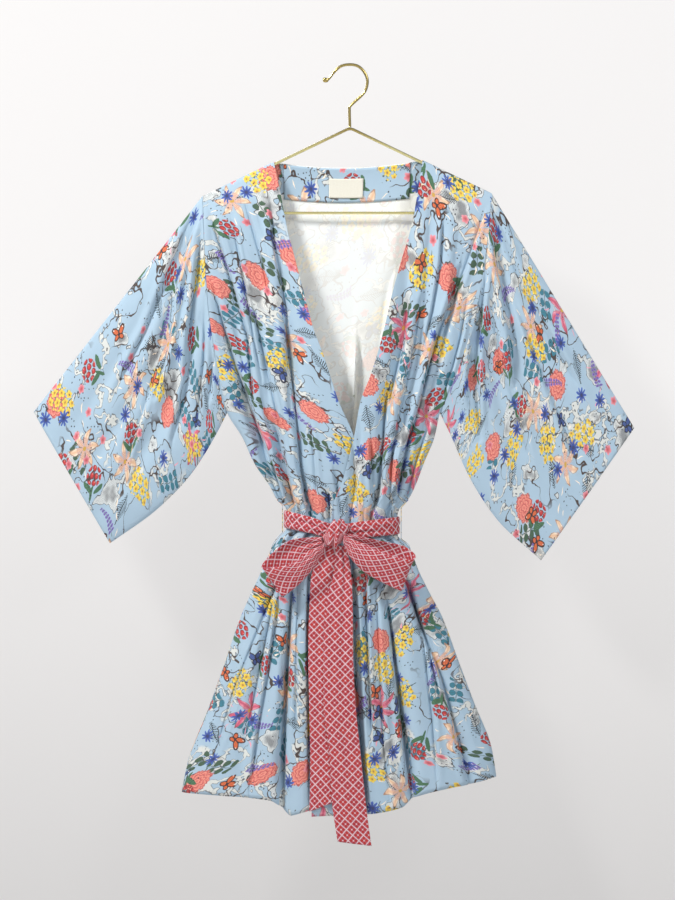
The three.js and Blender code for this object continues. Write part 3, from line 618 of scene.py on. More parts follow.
def starLily(x, y, radius, edge, middle):
    # six narrow curled petals, spotted near the middle
    far = size(x, y)
    away = petalAngle(x + sine(y * 0.22) * 1.2, y, 6)
    side = absolute(away + sine(far * 0.16) * 0.12)
    bound = (1 - 0.86 * calc("POWER", side * 1.91, 1.15)) * radius
    q = far / bound
    veins = nearZero(sine(side * 24.0), 0.2, 0.2)
    spots = within(0.2 - fraction(far * 0.5) * side * 6, 0.3) * within(far - radius * 0.5, 1.5)
    colour = paint(middle, (ramp(side, 5.0, -0.15), edge), (veins * 0.35, middle), (spots * 0.55, (0.42, 0.05, 0.08)),
                   (within(far - radius * 0.1, 0.5), (0.62, 0.36, 0.04)))
    return [(within(q - 1, 0.05), colour), (nearZero(q - 0.95, 0.05, 0.04) * 0.65, (0.20, 0.06, 0.05))]


def ellipse(x, y, cx, cy, rx, ry, turn=0.0):
    c, s = math.cos(turn), math.sin(turn)
    dx, dy = x - cx, y - cy
    return size((dx * c + dy * s) / rx, (dy * c - dx * s) / ry)


def staggered(x, y, cell):
    # place in a cell of a brick pattern
    stagger = calc("FLOOR", y / cell) * 0.5
    return (fraction(x / cell + stagger) - 0.5) * cell, (fraction(y / cell) - 0.5) * cell


def berries(x, y, red, dark):
    # a bunch of round buds over dark leaves
    localX, localY = staggered(x, y, 8.4)
    bunch = within(ellipse(x, y, 0, 4, 13, 12) - 1, 0.04)
    ball = size(localX, localY)
    light = within(size(localX + 1.3, localY - 1.5) - 0.7, 0.9) * 0.7
    colour = paint(dark, (within(ball - 2.6, 2.4), red), (light, (0.92, 0.42, 0.34)))
    side = absolute(x + 0.8)
    leaves = lower(ellipse(side, y, 9, -10, 3.2, 10, -0.8), ellipse(x, y, 2, -16, 2.2, 9, 0.2))
    vein = nearZero(fraction((y - side) * 0.45) - 0.5, 0.1, 0.1)
    green = mixColour((0.03, 0.12, 0.06), (0.12, 0.27, 0.10), vein)
    return [(within(leaves - 1, 0.12), green), (within(ball - 3.9, 0.5) * bunch, colour)]


def rosette(x, y, petals, middle, rx, ry):
    # nearest of a ring of petals
    away = petalAngle(x, y, petals)
    far = size(x, y)
    return size((far * calc("COSINE", away) - middle) / rx, far * sine(away) / ry)


def blossomSpray(x, y, light, deep):
    # a bunch of small five-petalled flowers on a bent stem
    stem = absolute(x - sine(y * 0.12) * 3) - 0.5
    localX, localY = staggered(x, y, 11.5)
    flower = rosette(localX, localY, 5, 2.9, 2.7, 2.2)
    bunch = ellipse(x, y, 0, 2, 15, 21) + (noise(together(x, y), 0.09, 2.0) - 0.5) * 1.4
    inBunch = within(bunch - 1, 0.05)
    far = size(localX, localY)
    petals = paint(deep, (ramp(far, 0.22), light), (within(far - 1.1, 0.5), (0.45, 0.20, 0.03)))
    leaf = within(rosette(localX, localY, 3, 4.9, 2.2, 1.0) - 1, 0.2)
    return [
        (within(stem, 0.5) * nearZero(y, 24, 1), (0.10, 0.13, 0.07)),
        (leaf * inBunch, (0.10, 0.24, 0.13)),
        (within(flower - 1, 0.12) * inBunch, petals),
        (nearZero(flower - 1, 0.1, 0.1) * inBunch * 0.6, (0.22, 0.15, 0.05)),
    ]


def cornflower(x, y, light, dark):
    petals = rosette(x, y, 9, 5.2, 4.4, 1.45)
    far = size(x, y)
    colour = mixColour(dark, light, ramp(far, 0.11))
    return [(within(petals - 1, 0.2), colour), (within(far - 2.1, 0.5), (0.02, 0.03, 0.12))]


def roundLeaves(x, y, colour):
    side = absolute(x + sine(y * 0.09) * 2)
    cell = (fraction(y / 11) - 0.5) * 11
    leaf = ellipse(side, cell, 5.4, 0, 4.6, 4.2)
    held = nearZero(y, 19, 1.0)
    vein = nearZero(cell, 0.3, 0.3) * 0.5
    return [(within(side - 0.45, 0.5) * held, (0.06, 0.10, 0.08)),
            (within(leaf - 1, 0.1) * held, colour),
            (within(leaf - 0.85, 0.1) * held * vein, (0.04, 0.12, 0.13)),
            (nearZero(leaf - 0.97, 0.05, 0.06) * held * 0.8, (0.02, 0.05, 0.05))]


def fern(x, y, colour):
    side = absolute(x)
    reach = 8.5 - absolute(y + 4) * 0.42
    barbs = fraction((y - side * 0.8) * 0.36) - 0.5
    comb = nearZero(barbs, 0.2, 0.12) * within(side - reach, 0.8)
    return [(comb, colour), (within(side - 0.5, 0.4) * nearZero(y, 19, 1), colour)]


def butterfly(x, y, wing, dark):
    side = absolute(x)
    upper = ellipse(side, y, 5.0, 4.6, 7.6, 4.2, 0.75)
    under = ellipse(side, y, 3.6, -3.2, 4.4, 3.4, -0.9)
    wings = lower(upper, under)
    bars = nearZero(sine(side * 1.25 - y * 0.7), 0.2, 0.15)
    spots = within(size(side - 8.2, y - 7.4) - 0.8, 0.4)
    colour = paint(wing, (within(0.66 - wings, 0.12), dark), (bars * 0.75, dark), (spots, (0.95, 0.93, 0.85)))
    return [(within(wings - 1, 0.1), colour), (within(ellipse(x, y, 0, 0, 0.9, 6.0) - 1, 0.3), (0.02, 0.02, 0.03))]


def spikeFlower(x, y, light, dark):
    # small bells along a leaning stem
    lean = x - y * y * 0.012
    side = absolute(lean)
    cell = (fraction(y / 4.6) - 0.5) * 4.6
    taper = 3.4 - y * 0.09
    bell = size((side - taper * 0.7) / (taper * 0.62), cell / 1.9)
    colour = mixColour(dark, light, ramp(bell, 0.9))
    return [(within(side - 0.4, 0.4) * nearZero(y + 3, 19, 1), (0.05, 0.10, 0.07)),
            (within(bell - 1, 0.2) * nearZero(y, 17, 0.8), colour)]


def layMotif(ground, layers, shown):
    return paint(ground, *((share * shown, colour) for share, colour in layers))


def chosen(value, low, high):
    # one where a cell's random number lies between two values
    return calc("GREATER_THAN", value, low) * calc("LESS_THAN", value, high)


def bud(x, y, light, deep):
    petals = mixColour(deep, light, ramp(size(x, y), 0.19))
    return [(within(rosette(x, y, 5, 3.0, 2.9, 2.3) - 1, 0.12), petals)]


# Each layer of the print scatters its motifs over cells. A motif has its shape, its
# sizes and colours, and its range of the cells' random numbers. Two colours in a list
# take turns from cell to cell.
printLook = {
    "ground": rgb(172, 198, 216), "groundDeep": rgb(160, 187, 206),
    "saturation": 0.97, "value": 1.0, "fade": 0.78, "dotCell": 5.6, "dot": rgb(40, 38, 52),
    "layers": [
        {"cell": 47, "turn": 0.9, "jitter": 0.5, "seed": 5, "spin": 6.283, "motifs": [
            (roundLeaves, [rgb(44, 122, 142)], 0.0, 0.11),
            (fern, [rgb(24, 40, 48)], 0.2, 0.46),
            (roundLeaves, [rgb(60, 90, 62)], 0.5, 0.58),
        ]},
        {"cell": 82, "turn": -0.3, "jitter": 0.42, "seed": 7, "spin": 6.283, "motifs": [
            (carnation, [17.5, [rgb(206, 70, 66), rgb(198, 54, 76)],
                         [rgb(248, 164, 142), rgb(246, 160, 158)]], 0.0, 0.36),
            (starLily, [26, [rgb(240, 160, 178), rgb(250, 234, 212)],
                        [rgb(206, 74, 108), rgb(234, 190, 150)]], 0.4, 0.82),
        ]},
        {"cell": 66, "turn": 0.55, "jitter": 0.45, "seed": 9, "spin": 2.4, "motifs": [
            (berries, [rgb(206, 34, 34), rgb(112, 12, 20)], 0.0, 0.3),
            (blossomSpray, [rgb(250, 222, 70), rgb(206, 146, 22)], 0.3, 0.54),
            (spikeFlower, [rgb(150, 128, 206), rgb(70, 52, 132)], 0.62, 0.84),
        ]},
        {"cell": 33, "turn": 1.2, "jitter": 0.5, "seed": 12, "spin": 6.283, "motifs": [
            (cornflower, [rgb(60, 100, 190), rgb(20, 36, 112)], 0.0, 0.2),
            (butterfly, [rgb(222, 98, 34), rgb(52, 22, 18)], 0.2, 0.26),
            (butterfly, [rgb(56, 84, 150), rgb(18, 20, 44)], 0.32, 0.34),
            (bud, [rgb(236, 150, 160), rgb(190, 40, 52)], 0.4, 0.54),
        ]},
    ],
}


def layerOfMotifs(colour, u, v, layer):
    x, y, pick, tint = scatter(u, v, *(layer[key] for key in ("cell", "turn", "jitter", "seed", "spin")))
    other = chosen(tint, 0.5, 1.1)
    for shape, settings, low, high in layer["motifs"]:
        settings = [mixColour(*value, other) if isinstance(value, list) else value for value in settings]
        colour = layMotif(colour, shape(x, y, *settings), chosen(pick, low, high))
    return colour


def penLines(colour, u, v):
    # pale branches, hatched pencil patches and thin bent twigs
    paper = together(u, v)
    branch = absolute(noise(paper, 0.026, 3.0, 0.55) - 0.5)
    grown = within(0.54 - noise(together(u, v, 9), 0.012, 1.0), 0.03)
    hatch = nearZero(sine(u * 1.9 + noise(paper, 0.06, 2.0) * 22), 0.2, 0.14)
    field = noise(paper, 0.02, 3.0)
    patch = within(0.6 - field, 0.008)
    twigs = nearZero(noise(paper, 0.024, 2.0, 0.45) - 0.5, 0.008, 0.004)
    where = within(0.47 - noise(paper, 0.011, 1.0), 0.05)
    return paint(
        colour,
        (within(branch - 0.024, 0.008) * grown * 0.85, rgb(224, 223, 214)),
        (nearZero(branch - 0.027, 0.005, 0.005) * grown * 0.8, rgb(84, 80, 80)),
        (patch * 0.8, rgb(226, 227, 222)),
        (within(0.66 - field, 0.06) * 0.75, rgb(104, 106, 110)),
        (hatch * patch * 0.75, rgb(74, 76, 80)),
        (nearZero(field - 0.6, 0.004, 0.003), rgb(62, 60, 62)),
        (twigs * where, rgb(66, 50, 44)),
    )


def kimonoPrint(u, v):
    colour = mixColour(printLook["ground"], printLook["groundDeep"], noise(together(u, v), 0.02, 3.0))
    u, v = wander(u, v, 0.045, 7)
    u, v = wander(u, v, 0.35, 1.5)
    colour = penLines(colour, u, v)
    for layer in printLook["layers"]:
        colour = layerOfMotifs(colour, u, v, layer)
    x, y, pick, _ = scatter(u, v, printLook["dotCell"], 0.2, 0.6, 14, 6.283)
    grouped = within(0.6 - noise(together(u, v, 40), 0.035, 1.0), 0.01)
    dots = within(size(x, y) - 0.9, 0.4) * chosen(pick, 0.0, 0.5) * grouped
    colour = mixColour(colour, printLook["dot"], dots)
    shade = addNode("HueSaturation")
    for socket, value in (("Saturation", printLook["saturation"]), ("Value", printLook["value"]), ("Color", colour)):
        connect(value, shade.inputs[socket])
    return NodeNumber(shade.outputs[0])


def printedCloth(name, faded):
    material, shader = newMaterial(name, 0.82, 0.12)
    u, v = clothPlace()
    colour = kimonoPrint(u, v)
    if faded:
        colour = mixColour(colour, rgb(255, 254, 247), printLook["fade"])
    threads = noise(together(u * 0.35, v * 2.2), 1.0, 2.0)
    connect(mixColour(colour, (0.93, 0.92, 0.9), threads * 0.05), shader.inputs["Base Color"])
    connect(weave(u, v), shader.inputs["Normal"])
    return material


beltLook = {
    "side": 10.8, "line": 0.5, "lobe": 1.95, "lobeAt": 2.3,
    "red": rgb(186, 48, 40), "deep": rgb(160, 38, 48), "pink": rgb(186, 100, 116), "pale": rgb(226, 204, 206),
}


def latticeCloth(name):
    material, shader = newMaterial(name, 0.8, 0.15)
    u, v = clothPlace()
    a = (u + v) * (0.7071 / beltLook["side"])
    b = (u - v) * (0.7071 / beltLook["side"])
    first = randomThree(calc("FLOOR", a), calc("FLOOR", b), 2)[0]
    x = (fraction(a) - 0.5) * beltLook["side"]
    y = (fraction(b) - 0.5) * beltLook["side"]
    edge = beltLook["side"] / 2 - higher(absolute(x), absolute(y))
    lobes = size(absolute(x) - beltLook["lobeAt"], absolute(y) - beltLook["lobeAt"])
    lobes = lobes + (noise(together(u, v), 0.8, 1.0) - 0.5)
    lobeColour = mixColour(beltLook["red"], beltLook["deep"], first * 0.7)
    colour = paint(beltLook["pink"], (within(lobes - beltLook["lobe"], 0.5), lobeColour),
                   (within(size(x, y) - 1.0, 0.5) * 0.85, beltLook["pale"]),
                   (within(edge - beltLook["line"], 0.3), beltLook["pale"]))
    connect(colour, shader.inputs["Base Color"])
    connect(weave(u, v), shader.inputs["Normal"])
    return material


def labelTape():
    material, shader = newMaterial("labelTape", 0.9, 0.1)
    u, v = clothPlace()
    colour = mixColour(rgb(236, 233, 219), rgb(224, 219, 203), noise(together(u, v), 0.6, 3.0))
    connect(colour, shader.inputs["Base Color"])
    connect(bump(sine(v * 6.0) + sine(u * 3.2) * 0.4, 0.25, 0.0004), shader.inputs["Normal"])
    return material


def sewingThread():
    material, shader = newMaterial("sewingThread", 0.7)
    colour = mixColour(rgb(190, 212, 230), rgb(164, 188, 208), noise(objectPlace(), 900, 2.0))
    connect(colour, shader.inputs["Base Color"])
    return material


def brassWire():
    material, shader = newMaterial("brassWire", 0.24, metallic=1.0)
    spot = objectPlace()
    upper = ramp(split(spot)[2], 40.0, 4.6)
    colour = paint(rgb(252, 246, 190), (noise(spot, 12, 2.0), rgb(242, 226, 150)), (upper, rgb(196, 176, 112)))
    connect(colour, shader.inputs["Base Color"])
    connect(calc("MULTIPLY_ADD", noise(spot, 260, 2.0), 0.12, 0.14), shader.inputs["Roughness"])
    connect(bump(noise(spot, 700, 2.0), 0.05, 0.0002), shader.inputs["Normal"])
    return material


printOuter = printedCloth("printedCotton", False)
printInner = printedCloth("printedCottonInside", True)
latticeOuter = latticeCloth("latticeCotton")
tape = labelTape()
thread = sewingThread()
brass = brassWire()
print("stage: materials")


# The body is two fronts and a back, with creases that follow the picture.
frontLook = {"rows": 170, "columns": 270, "unevenness": 0.5, "still": 190}  # level where creases begin
backLook = {"rows": 170, "columns": 250, "unevenness": 0.6, "still": 200}

bodiceCreases = [  # picture places, depth and width in millimetres; the sign is the steep side
    ([(204, 199), (213.7, 224), (225.9, 264), (248, 338), (254, 416), (279, 500)], 2.6, 9),
    ([(214, 290), (225.5, 332), (236, 367), (244.5, 390), (261, 437), (274, 468), (286.5, 510)], 4.0, 8),
    ([(240, 186), (250, 220), (262, 262), (270, 300)], 1.6, 8),
    ([(270, 197), (274, 244), (286, 311), (287, 351), (290, 400)], 2.0, -7),
    ([(283.7, 314), (291.4, 373), (295, 405), (299, 446), (304.8, 503)], 3.0, -7),
    ([(274, 422), (281, 447), (289, 482), (295, 510)], 2.2, 6),
    ([(262, 400), (272, 440), (281, 478), (290, 512)], 1.6, -6),
    ([(310, 420), (314, 455), (317, 500)], 1.4, 6),
    ([(408, 300), (405, 336), (392, 390), (386, 430)], 2.2, 7),
    ([(420, 300), (412, 356), (398, 419), (390, 470)], 2.4, -7),
    ([(458, 270), (451, 300), (440, 328), (430, 363), (417.7, 412), (408, 440), (401, 475), (394, 516)], 3.6, -8),
    ([(387, 384), (383, 440), (377, 510)], 2.6, 6),
    ([(466.8, 300), (461, 335), (452.7, 367), (444, 395), (440, 420)], 2.2, 7),
    ([(487, 204), (466, 264), (455, 295), (440, 350)], 1.8, 8),
    ([(430, 420), (416, 462), (403, 512)], 1.8, 6),
    ([(352, 440), (356, 480), (358, 512)], 1.2, 6),
    ([(334, 470), (338, 495), (341, 515)], 1.3, -5),
    ([(272, 462), (278, 482), (286, 510)], 2.0, 4),
    ([(284, 452), (290, 481), (297, 512)], 2.2, 4),
    ([(303, 474), (305, 490), (308, 516)], 2.2, -4),
    ([(329, 492), (329.5, 506), (330, 522)], 1.8, 4),
    ([(370, 440), (372, 480), (375, 512)], 2.2, -4),
    ([(393, 440), (391, 480), (390, 510)], 2.2, 4),
    ([(252, 300), (268, 372), (281, 430), (289, 470)], 2.0, 5),
    ([(233, 224), (246, 290), (254, 340), (262, 380)], 1.8, 5),
    ([(443, 214), (440, 262), (432, 310), (423, 350)], 1.8, -5),
]
skirtCreases = [
    ([(291.5, 560), (291.5, 599), (288, 668), (285, 738), (284, 805)], 4.0, 7),
    ([(281, 566), (278, 601), (270, 660), (258, 730), (250, 790)], 2.4, -9),
    ([(309, 560), (308, 640), (309, 720), (310, 800)], 2.6, -7),
    ([(286, 560), (262, 620), (234, 690), (214, 760)], 2.0, 9),
    ([(354, 590), (355, 660), (360, 740), (366, 800)], 2.6, 8),
    ([(386, 585), (395.6, 668), (404, 740), (411, 794)], 4.2, -8),
    ([(398, 560), (408.6, 592), (441, 677), (458, 740), (470, 790)], 3.0, -9),
    ([(376, 585), (379, 660), (383, 740), (390, 800)], 1.8, 7),
    ([(410, 585), (424, 650), (432, 720), (436, 780)], 2.0, 8),
    ([(300, 560), (297, 640), (296, 740)], 1.4, 5),
    ([(366, 566), (366, 600), (368, 660), (372, 740)], 2.8, 5),
    ([(407, 580), (416, 610), (427, 645), (440, 700)], 2.2, 5),
    ([(277, 580), (270, 620), (258, 680), (248, 730)], 2.2, 5),
]
backCreases = [  # places in millimetres, as the back isn't in the picture
    ([(-196, -240), (-170, -330), (-138, -430), (-104, -520), (-80, -615)], 3.4, 10),
    ([(-150, -260), (-120, -380), (-92, -490), (-60, -618)], 2.6, -9),
    ([(-96, -330), (-74, -450), (-48, -560), (-40, -622)], 2.8, 8),
    ([(-38, -420), (-28, -520), (-22, -624)], 2.2, -7),
    ([(10, -380), (6, -500), (4, -624)], 2.6, 7),
    ([(62, -300), (46, -430), (28, -560), (24, -622)], 2.6, -8),
    ([(120, -250), (92, -380), (62, -500), (44, -618)], 3.0, 9),
    ([(184, -236), (158, -330), (118, -440), (78, -560), (60, -616)], 3.2, -10),
    ([(-62, -690), (-96, -790), (-136, -900), (-160, -1000)], 3.4, 10),
    ([(-40, -690), (-56, -800), (-76, -920), (-84, -1004)], 3.6, -9),
    ([(-20, -700), (-22, -820), (-16, -940), (-20, -1004)], 2.8, 9),
    ([(8, -690), (20, -800), (26, -920), (40, -1000)], 3.4, -8),
    ([(30, -690), (60, -800), (84, -920), (92, -1000)], 3.2, 9),
    ([(50, -690), (92, -790), (132, -900), (152, -990)], 3.2, -10),
]


def picturedCreases(creases):
    return [(atPicture(line), depth, width) for line, depth, width in creases]


def edgeAcross(level, column):
    height = level
    for _ in range(7):
        across = acrossAt(readColumn(edgeRows, column, height), level)
        height = -bodyZ(across, level, False)
    return across


def bodyLevels(rows):
    share = np.linspace(0, 1, rows) ** 1.25
    return (body["shoulder"] + (body["hem"] - body["shoulder"]) * share)[:, None]


def clothUv(grid, shift, level):
    # cloth places in metres: length along each row from its free edge, and height
    u = (grid[:, :1, 0] + lengthsAlong(grid, 1)) / 1000 + shift[0]
    return stacked(u, -level / 1000 + shift[1])


def creasedBody(grid, level, across, look, creases, seeds, inward):
    # creases, soft waves and gathers, which fade towards the seams
    flat = grid[..., 1].copy()
    held = smoothStep((level - look["still"]) / 60) * smoothStep((1 - np.abs(across)) / 0.06)
    addCreases(grid, creases, inward)
    addUnevenness(grid, seeds[0], look["unevenness"], 1)
    addGathers(grid, level, seeds[1], inward)
    grid[..., 1] = flat + (grid[..., 1] - flat) * held
    return flat


def frontPiece(isOver):
    level = bodyLevels(frontLook["rows"])
    edge = edgeAcross(level, 2 if isOver else 1)
    side = 1 if isOver else -1
    share = 1 - (1 - np.linspace(0, 1, frontLook["columns"])) ** 1.3
    across = edge + (side - edge) * share[None, :]
    level = np.broadcast_to(level, across.shape)
    grid = bodySurface(across, level, False)
    if not isOver:
        overEdge = edgeAcross(level[:, :1], 2)
        under = smoothStep((across - overEdge + body["wrapRamp"]) / body["wrapRamp"])
        grid[..., 1] += body["wrapStep"] * under
        grid[..., 2] += body["underHemRise"] * under * nearHem(level)
    creases = picturedCreases(bodiceCreases + skirtCreases)
    flat = creasedBody(grid, level, across, frontLook, creases, (21 if isOver else 22, 5), 1)
    if not isOver:
        grid[..., 1] = np.maximum(grid[..., 1], flat - 1.5 * (1 - under))
    uv = clothUv(grid, (0.4, 0.1) if isOver else (3.1, 1.7), level)
    names = ("frontOver", "front_over") if isOver else ("frontUnder", "front_under")
    return clothPiece(*names, "printed_cloth", grid, uv, [printOuter, printInner], body["thickness"],
                      flip=not isOver), grid


facingEnds = {"inner": 84, "outer": 112, "drop": 42}


def backPiece():
    turn = np.linspace(-1, 1, backLook["columns"])
    across = np.sign(turn) * (1 - (1 - np.abs(turn)) ** 1.25)
    across, level = np.broadcast_arrays(across[None, :], bodyLevels(backLook["rows"]))
    grid = bodySurface(across, level, True)
    creases = [(np.asarray(line, float), depth, width) for line, depth, width in backCreases]
    creasedBody(grid, level, across, backLook, creases, (23, 6), -1)
    piece = clothPiece("backPanel", "back", "printed_cloth", grid, clothUv(grid, (5.3, 0.6), level),
                       [printOuter, printInner, printOuter], body["thickness"], flip=True)
    for face in piece.data.polygons:  # the facing's ends, up to the shoulder seams
        x, z = 1000 * face.center.x, 1000 * face.center.z
        ends = facingEnds["inner"] < abs(x) < facingEnds["outer"]
        face.material_index = 2 if ends and topZ(np.array([x]), True)[0] - z < facingEnds["drop"] else 0
    return piece, grid


frontUnder, frontUnderGrid = frontPiece(False)
frontOver, frontOverGrid = frontPiece(True)
back, backGrid = backPiece()
print("stage: body")


# Each sleeve is a flat tube from the armhole to the cuff. Its lower edge is given by
# lowX and lowZ, and its folds by their place at armhole and cuff and their depth.
sleeveLook = {
    "cuffDepth": 9, "foldWidth": 0.06, "around": 224, "along": 104, "unevenness": 0.5, "leastHalf": 1.2,
    "folds": [(0.1, 0.3, 3.5), (0.28, 0.55, 5), (0.5, 0.8, 5.5)],
    "left": {"side": -1, "cuff": (-441, -484.4), "lowX": [-189, -221.2, -270.2, -334.6],
             "lowZ": [-520.8, -571.2, -621.6, -667.8]},
    "right": {"side": 1, "cuff": (399, -506.8), "lowX": [144.2, 166.6, 207, 268.8],
              "lowZ": [-520.8, -571.2, -634.2, -691.6]},
}
sleeveCreases = {
    "left": [
        ([(203, 205), (190, 234), (176, 280), (168, 347), (155, 397)], 4.2, 8),
        ([(205, 215), (198, 262), (190, 320), (186, 380), (172, 440)], 3.4, -7),
        ([(176, 300), (160, 360), (140, 420), (124, 470)], 2.0, 7),
        ([(208, 240), (206, 300), (204, 360), (196, 430)], 2.4, 8),
        ([(196, 212), (170, 270), (146, 330), (116, 390)], 2.0, -9),
        ([(212, 300), (214, 350), (210, 400)], 1.8, 7),
    ],
    "right": [
        ([(489, 210), (493, 243), (501, 282), (510, 330), (514, 390)], 3.8, -8),
        ([(486, 225), (484, 280), (480, 320), (476, 370), (480, 440)], 3.4, 7),
        ([(514, 300), (536, 360), (560, 420), (578, 470)], 1.8, -7),
        ([(480, 250), (474, 300), (470, 350), (468, 400)], 2.2, -7),
        ([(494, 215), (520, 280), (546, 330), (580, 390)], 2.2, 9),
        ([(490, 300), (500, 360), (520, 420), (532, 470)], 1.8, 8),
    ],
}


def sleevePiece(which):
    look = sleeveLook[which]
    side = look["side"]
    shoulder, underarm = body["shoulder"], body["underarm"]
    top = np.array([bodyX(side, shoulder), bodyZ(side, shoulder, False)])
    bottom = np.array([bodyX(side, underarm), -underarm])
    along = downTo(0, 1, sleeveLook["along"])
    turn = fullTurn(sleeveLook["around"])[None, :]
    down = (1 - np.cos(turn)) / 2
    level = shoulder + (underarm - shoulder) * down
    seam = (bodyX(side, level), bodyZ(np.full_like(level, side), level, False))
    edges = []
    for axis, low in enumerate((look["lowX"], look["lowZ"])):
        upper = top[axis] + (look["cuff"][axis] - top[axis]) * along
        lowest = readTable([0, 0.25, 0.5, 0.75, 1], [bottom[axis]] + low, along)
        curved = seam[axis] - (top[axis] + (bottom[axis] - top[axis]) * down)
        edges.append(upper + (lowest - upper) * down + curved * (1 - along) ** 2)
    half = body["armholeDepth"] + (sleeveLook["cuffDepth"] - body["armholeDepth"]) * along
    drawn = np.zeros_like(edges[0])
    for start, end, deep in sleeveLook["folds"]:
        drawn = np.maximum(drawn, deep * hill((down - start - (end - start) * along) / sleeveLook["foldWidth"]))
    drawn = drawn * np.sin(math.pi * np.minimum(1, along * 0.9 + 0.06))
    y = -np.sin(turn) * np.maximum(half - drawn, half * 0.3)
    grid = stacked(edges[0] + side * body["seamGap"] / 2, y, edges[1])
    isFront = np.broadcast_to(np.sin(turn), y.shape)
    held = smoothStep(along / 0.08) * smoothStep(np.abs(isFront) / 0.3)
    creased = grid.copy()
    addCreases(creased, picturedCreases(sleeveCreases[which]), 1)
    addUnevenness(creased, 31 + side, sleeveLook["unevenness"], 1)
    y = y + (creased[..., 1] - y) * held * np.sign(isFront)
    least = sleeveLook["leastHalf"] * held
    grid[..., 1] = np.where(isFront > 0, np.minimum(y, -least), np.maximum(y, least))
    u = lengthsAlong(joined(grid), 1) / 1000 + (7.2 if side < 0 else 9.4)
    v = lengthsAlong(joined(grid)).mean(axis=1, keepdims=True) / 1000
    names = ("sleeveLeft", "sleeve_left") if side < 0 else ("sleeveRight", "sleeve_right")
    return clothPiece(*names, "printed_cloth", grid, stacked(u, v), [printOuter, printInner], body["thickness"],
                      closed=True, flip=side > 0), grid


sleeveLeft, sleeveLeftGrid = sleevePiece("left")
sleeveRight, sleeveRightGrid = sleevePiece("right")
print("stage: sleeves")


# Facing and label inside the back neck.
facingLook = {"halfAcross": 0.44, "topDrop": 1, "bottomDrop": 42, "thickness": 0.6, "gap": 1.4}
labelLook = {"left": -28, "right": 20.2, "topDrop": 14.5, "bottomDrop": 37.3, "thickness": 0.5, "gap": 2.7}


def insideBack(across, drops, gap):
    level = body["shoulder"] + downTo(*drops, 14)
    across, level = np.broadcast_arrays(across[None, :], level)
    grid = bodySurface(across, level, True)
    grid[..., 1] -= gap
    return grid, level


def facingPiece():
    across = np.linspace(-facingLook["halfAcross"], facingLook["halfAcross"], 70)
    grid, level = insideBack(across, (facingLook["topDrop"], facingLook["bottomDrop"]), facingLook["gap"])
    return clothPiece("backNeckFacing", "back_neck_facing", "printed_cloth", grid, clothUv(grid, (11.2, 2.4), level),
                      [printOuter, printInner], facingLook["thickness"]), grid


def labelPiece():
    level = body["shoulder"] + labelLook["topDrop"]
    across = np.linspace(acrossAt(labelLook["left"], level), acrossAt(labelLook["right"], level), 24)
    grid, level = insideBack(across, (labelLook["topDrop"], labelLook["bottomDrop"]), labelLook["gap"])
    return clothPiece("neckLabel", "label", "label_tape", grid, clothUv(grid, (0, 0), level), [tape],
                      labelLook["thickness"]), grid


backNeckFacing, facingGrid = facingPiece()
neckLabel, labelGrid = labelPiece()
print("stage: facing and label")


# The belt lies round the waist and is tied in front, in a bow with two free ends.
beltLook.update({
    "thickness": 0.8, "height": 24, "sideClear": 2.8, "frontClear": 3.2, "backClear": 2.8, "level": 640,
    "bandAcross": [-1, -0.55, -0.1, 0.35, 1], "bandLevel": [634, 642, 651, 648, 643],
    "around": 260, "down": 26,
})


def beltPiece(name, node, grid, uv, **settings):
    return clothPiece(name, node, "belt_cloth", grid, uv, [latticeOuter], beltLook["thickness"], **settings), grid


def beltBand():
    left = bodyX(-1, beltLook["level"]) - beltLook["sideClear"]
    right = bodyX(1, beltLook["level"]) + beltLook["sideClear"]
    frontDepth = body["crestDepth"] + bodyDepth(beltLook["level"]) + beltLook["frontClear"]
    backDepth = body["crestDepth"] + bodyDepth(beltLook["level"], True) + beltLook["backClear"]
    turn = fullTurn(beltLook["around"])[None, :]
    across = -np.cos(turn)
    isFront = np.sin(turn) >= 0
    place = downTo(-0.5, 0.5, beltLook["down"])
    gathered = np.where(isFront, hill((across + 0.1) / 0.42), 0)
    pleat = np.sin((place * 3.2 + 0.25 * np.sin(across * 5)) * 2 * math.pi)
    second = np.sin((place * 1.6 + across * 0.5) * 2 * math.pi + 1.0)
    bulge = 0.9 + 0.9 * pleat * (0.35 + gathered) + 0.5 * second
    bulge = bulge * np.sin(math.pi * (place + 0.5)) ** 0.4
    depth = np.where(isFront, frontDepth, backDepth) + bulge
    roundness = np.sqrt(np.maximum(0, 1 - np.abs(across) ** body["flatness"]))
    front = readTable(beltLook["bandAcross"], beltLook["bandLevel"], across)
    leftEnd, rightEnd = beltLook["bandLevel"][0], beltLook["bandLevel"][-1]
    middle = np.where(isFront, front, leftEnd + (rightEnd - leftEnd) * (across + 1) / 2)
    height = beltLook["height"] * (1 - 0.16 * gathered)
    x = (left + right) / 2 + ((right - left) / 2 + bulge) * across
    grid = stacked(x, np.where(isFront, -depth, depth) * roundness, -middle - place * height)
    uv = stacked(lengthsAlong(joined(grid), 1) / 1000, lengthsAlong(joined(grid)) / -1000 + 0.3)
    return beltPiece("beltBand", "belt_band", grid, uv, closed=True)


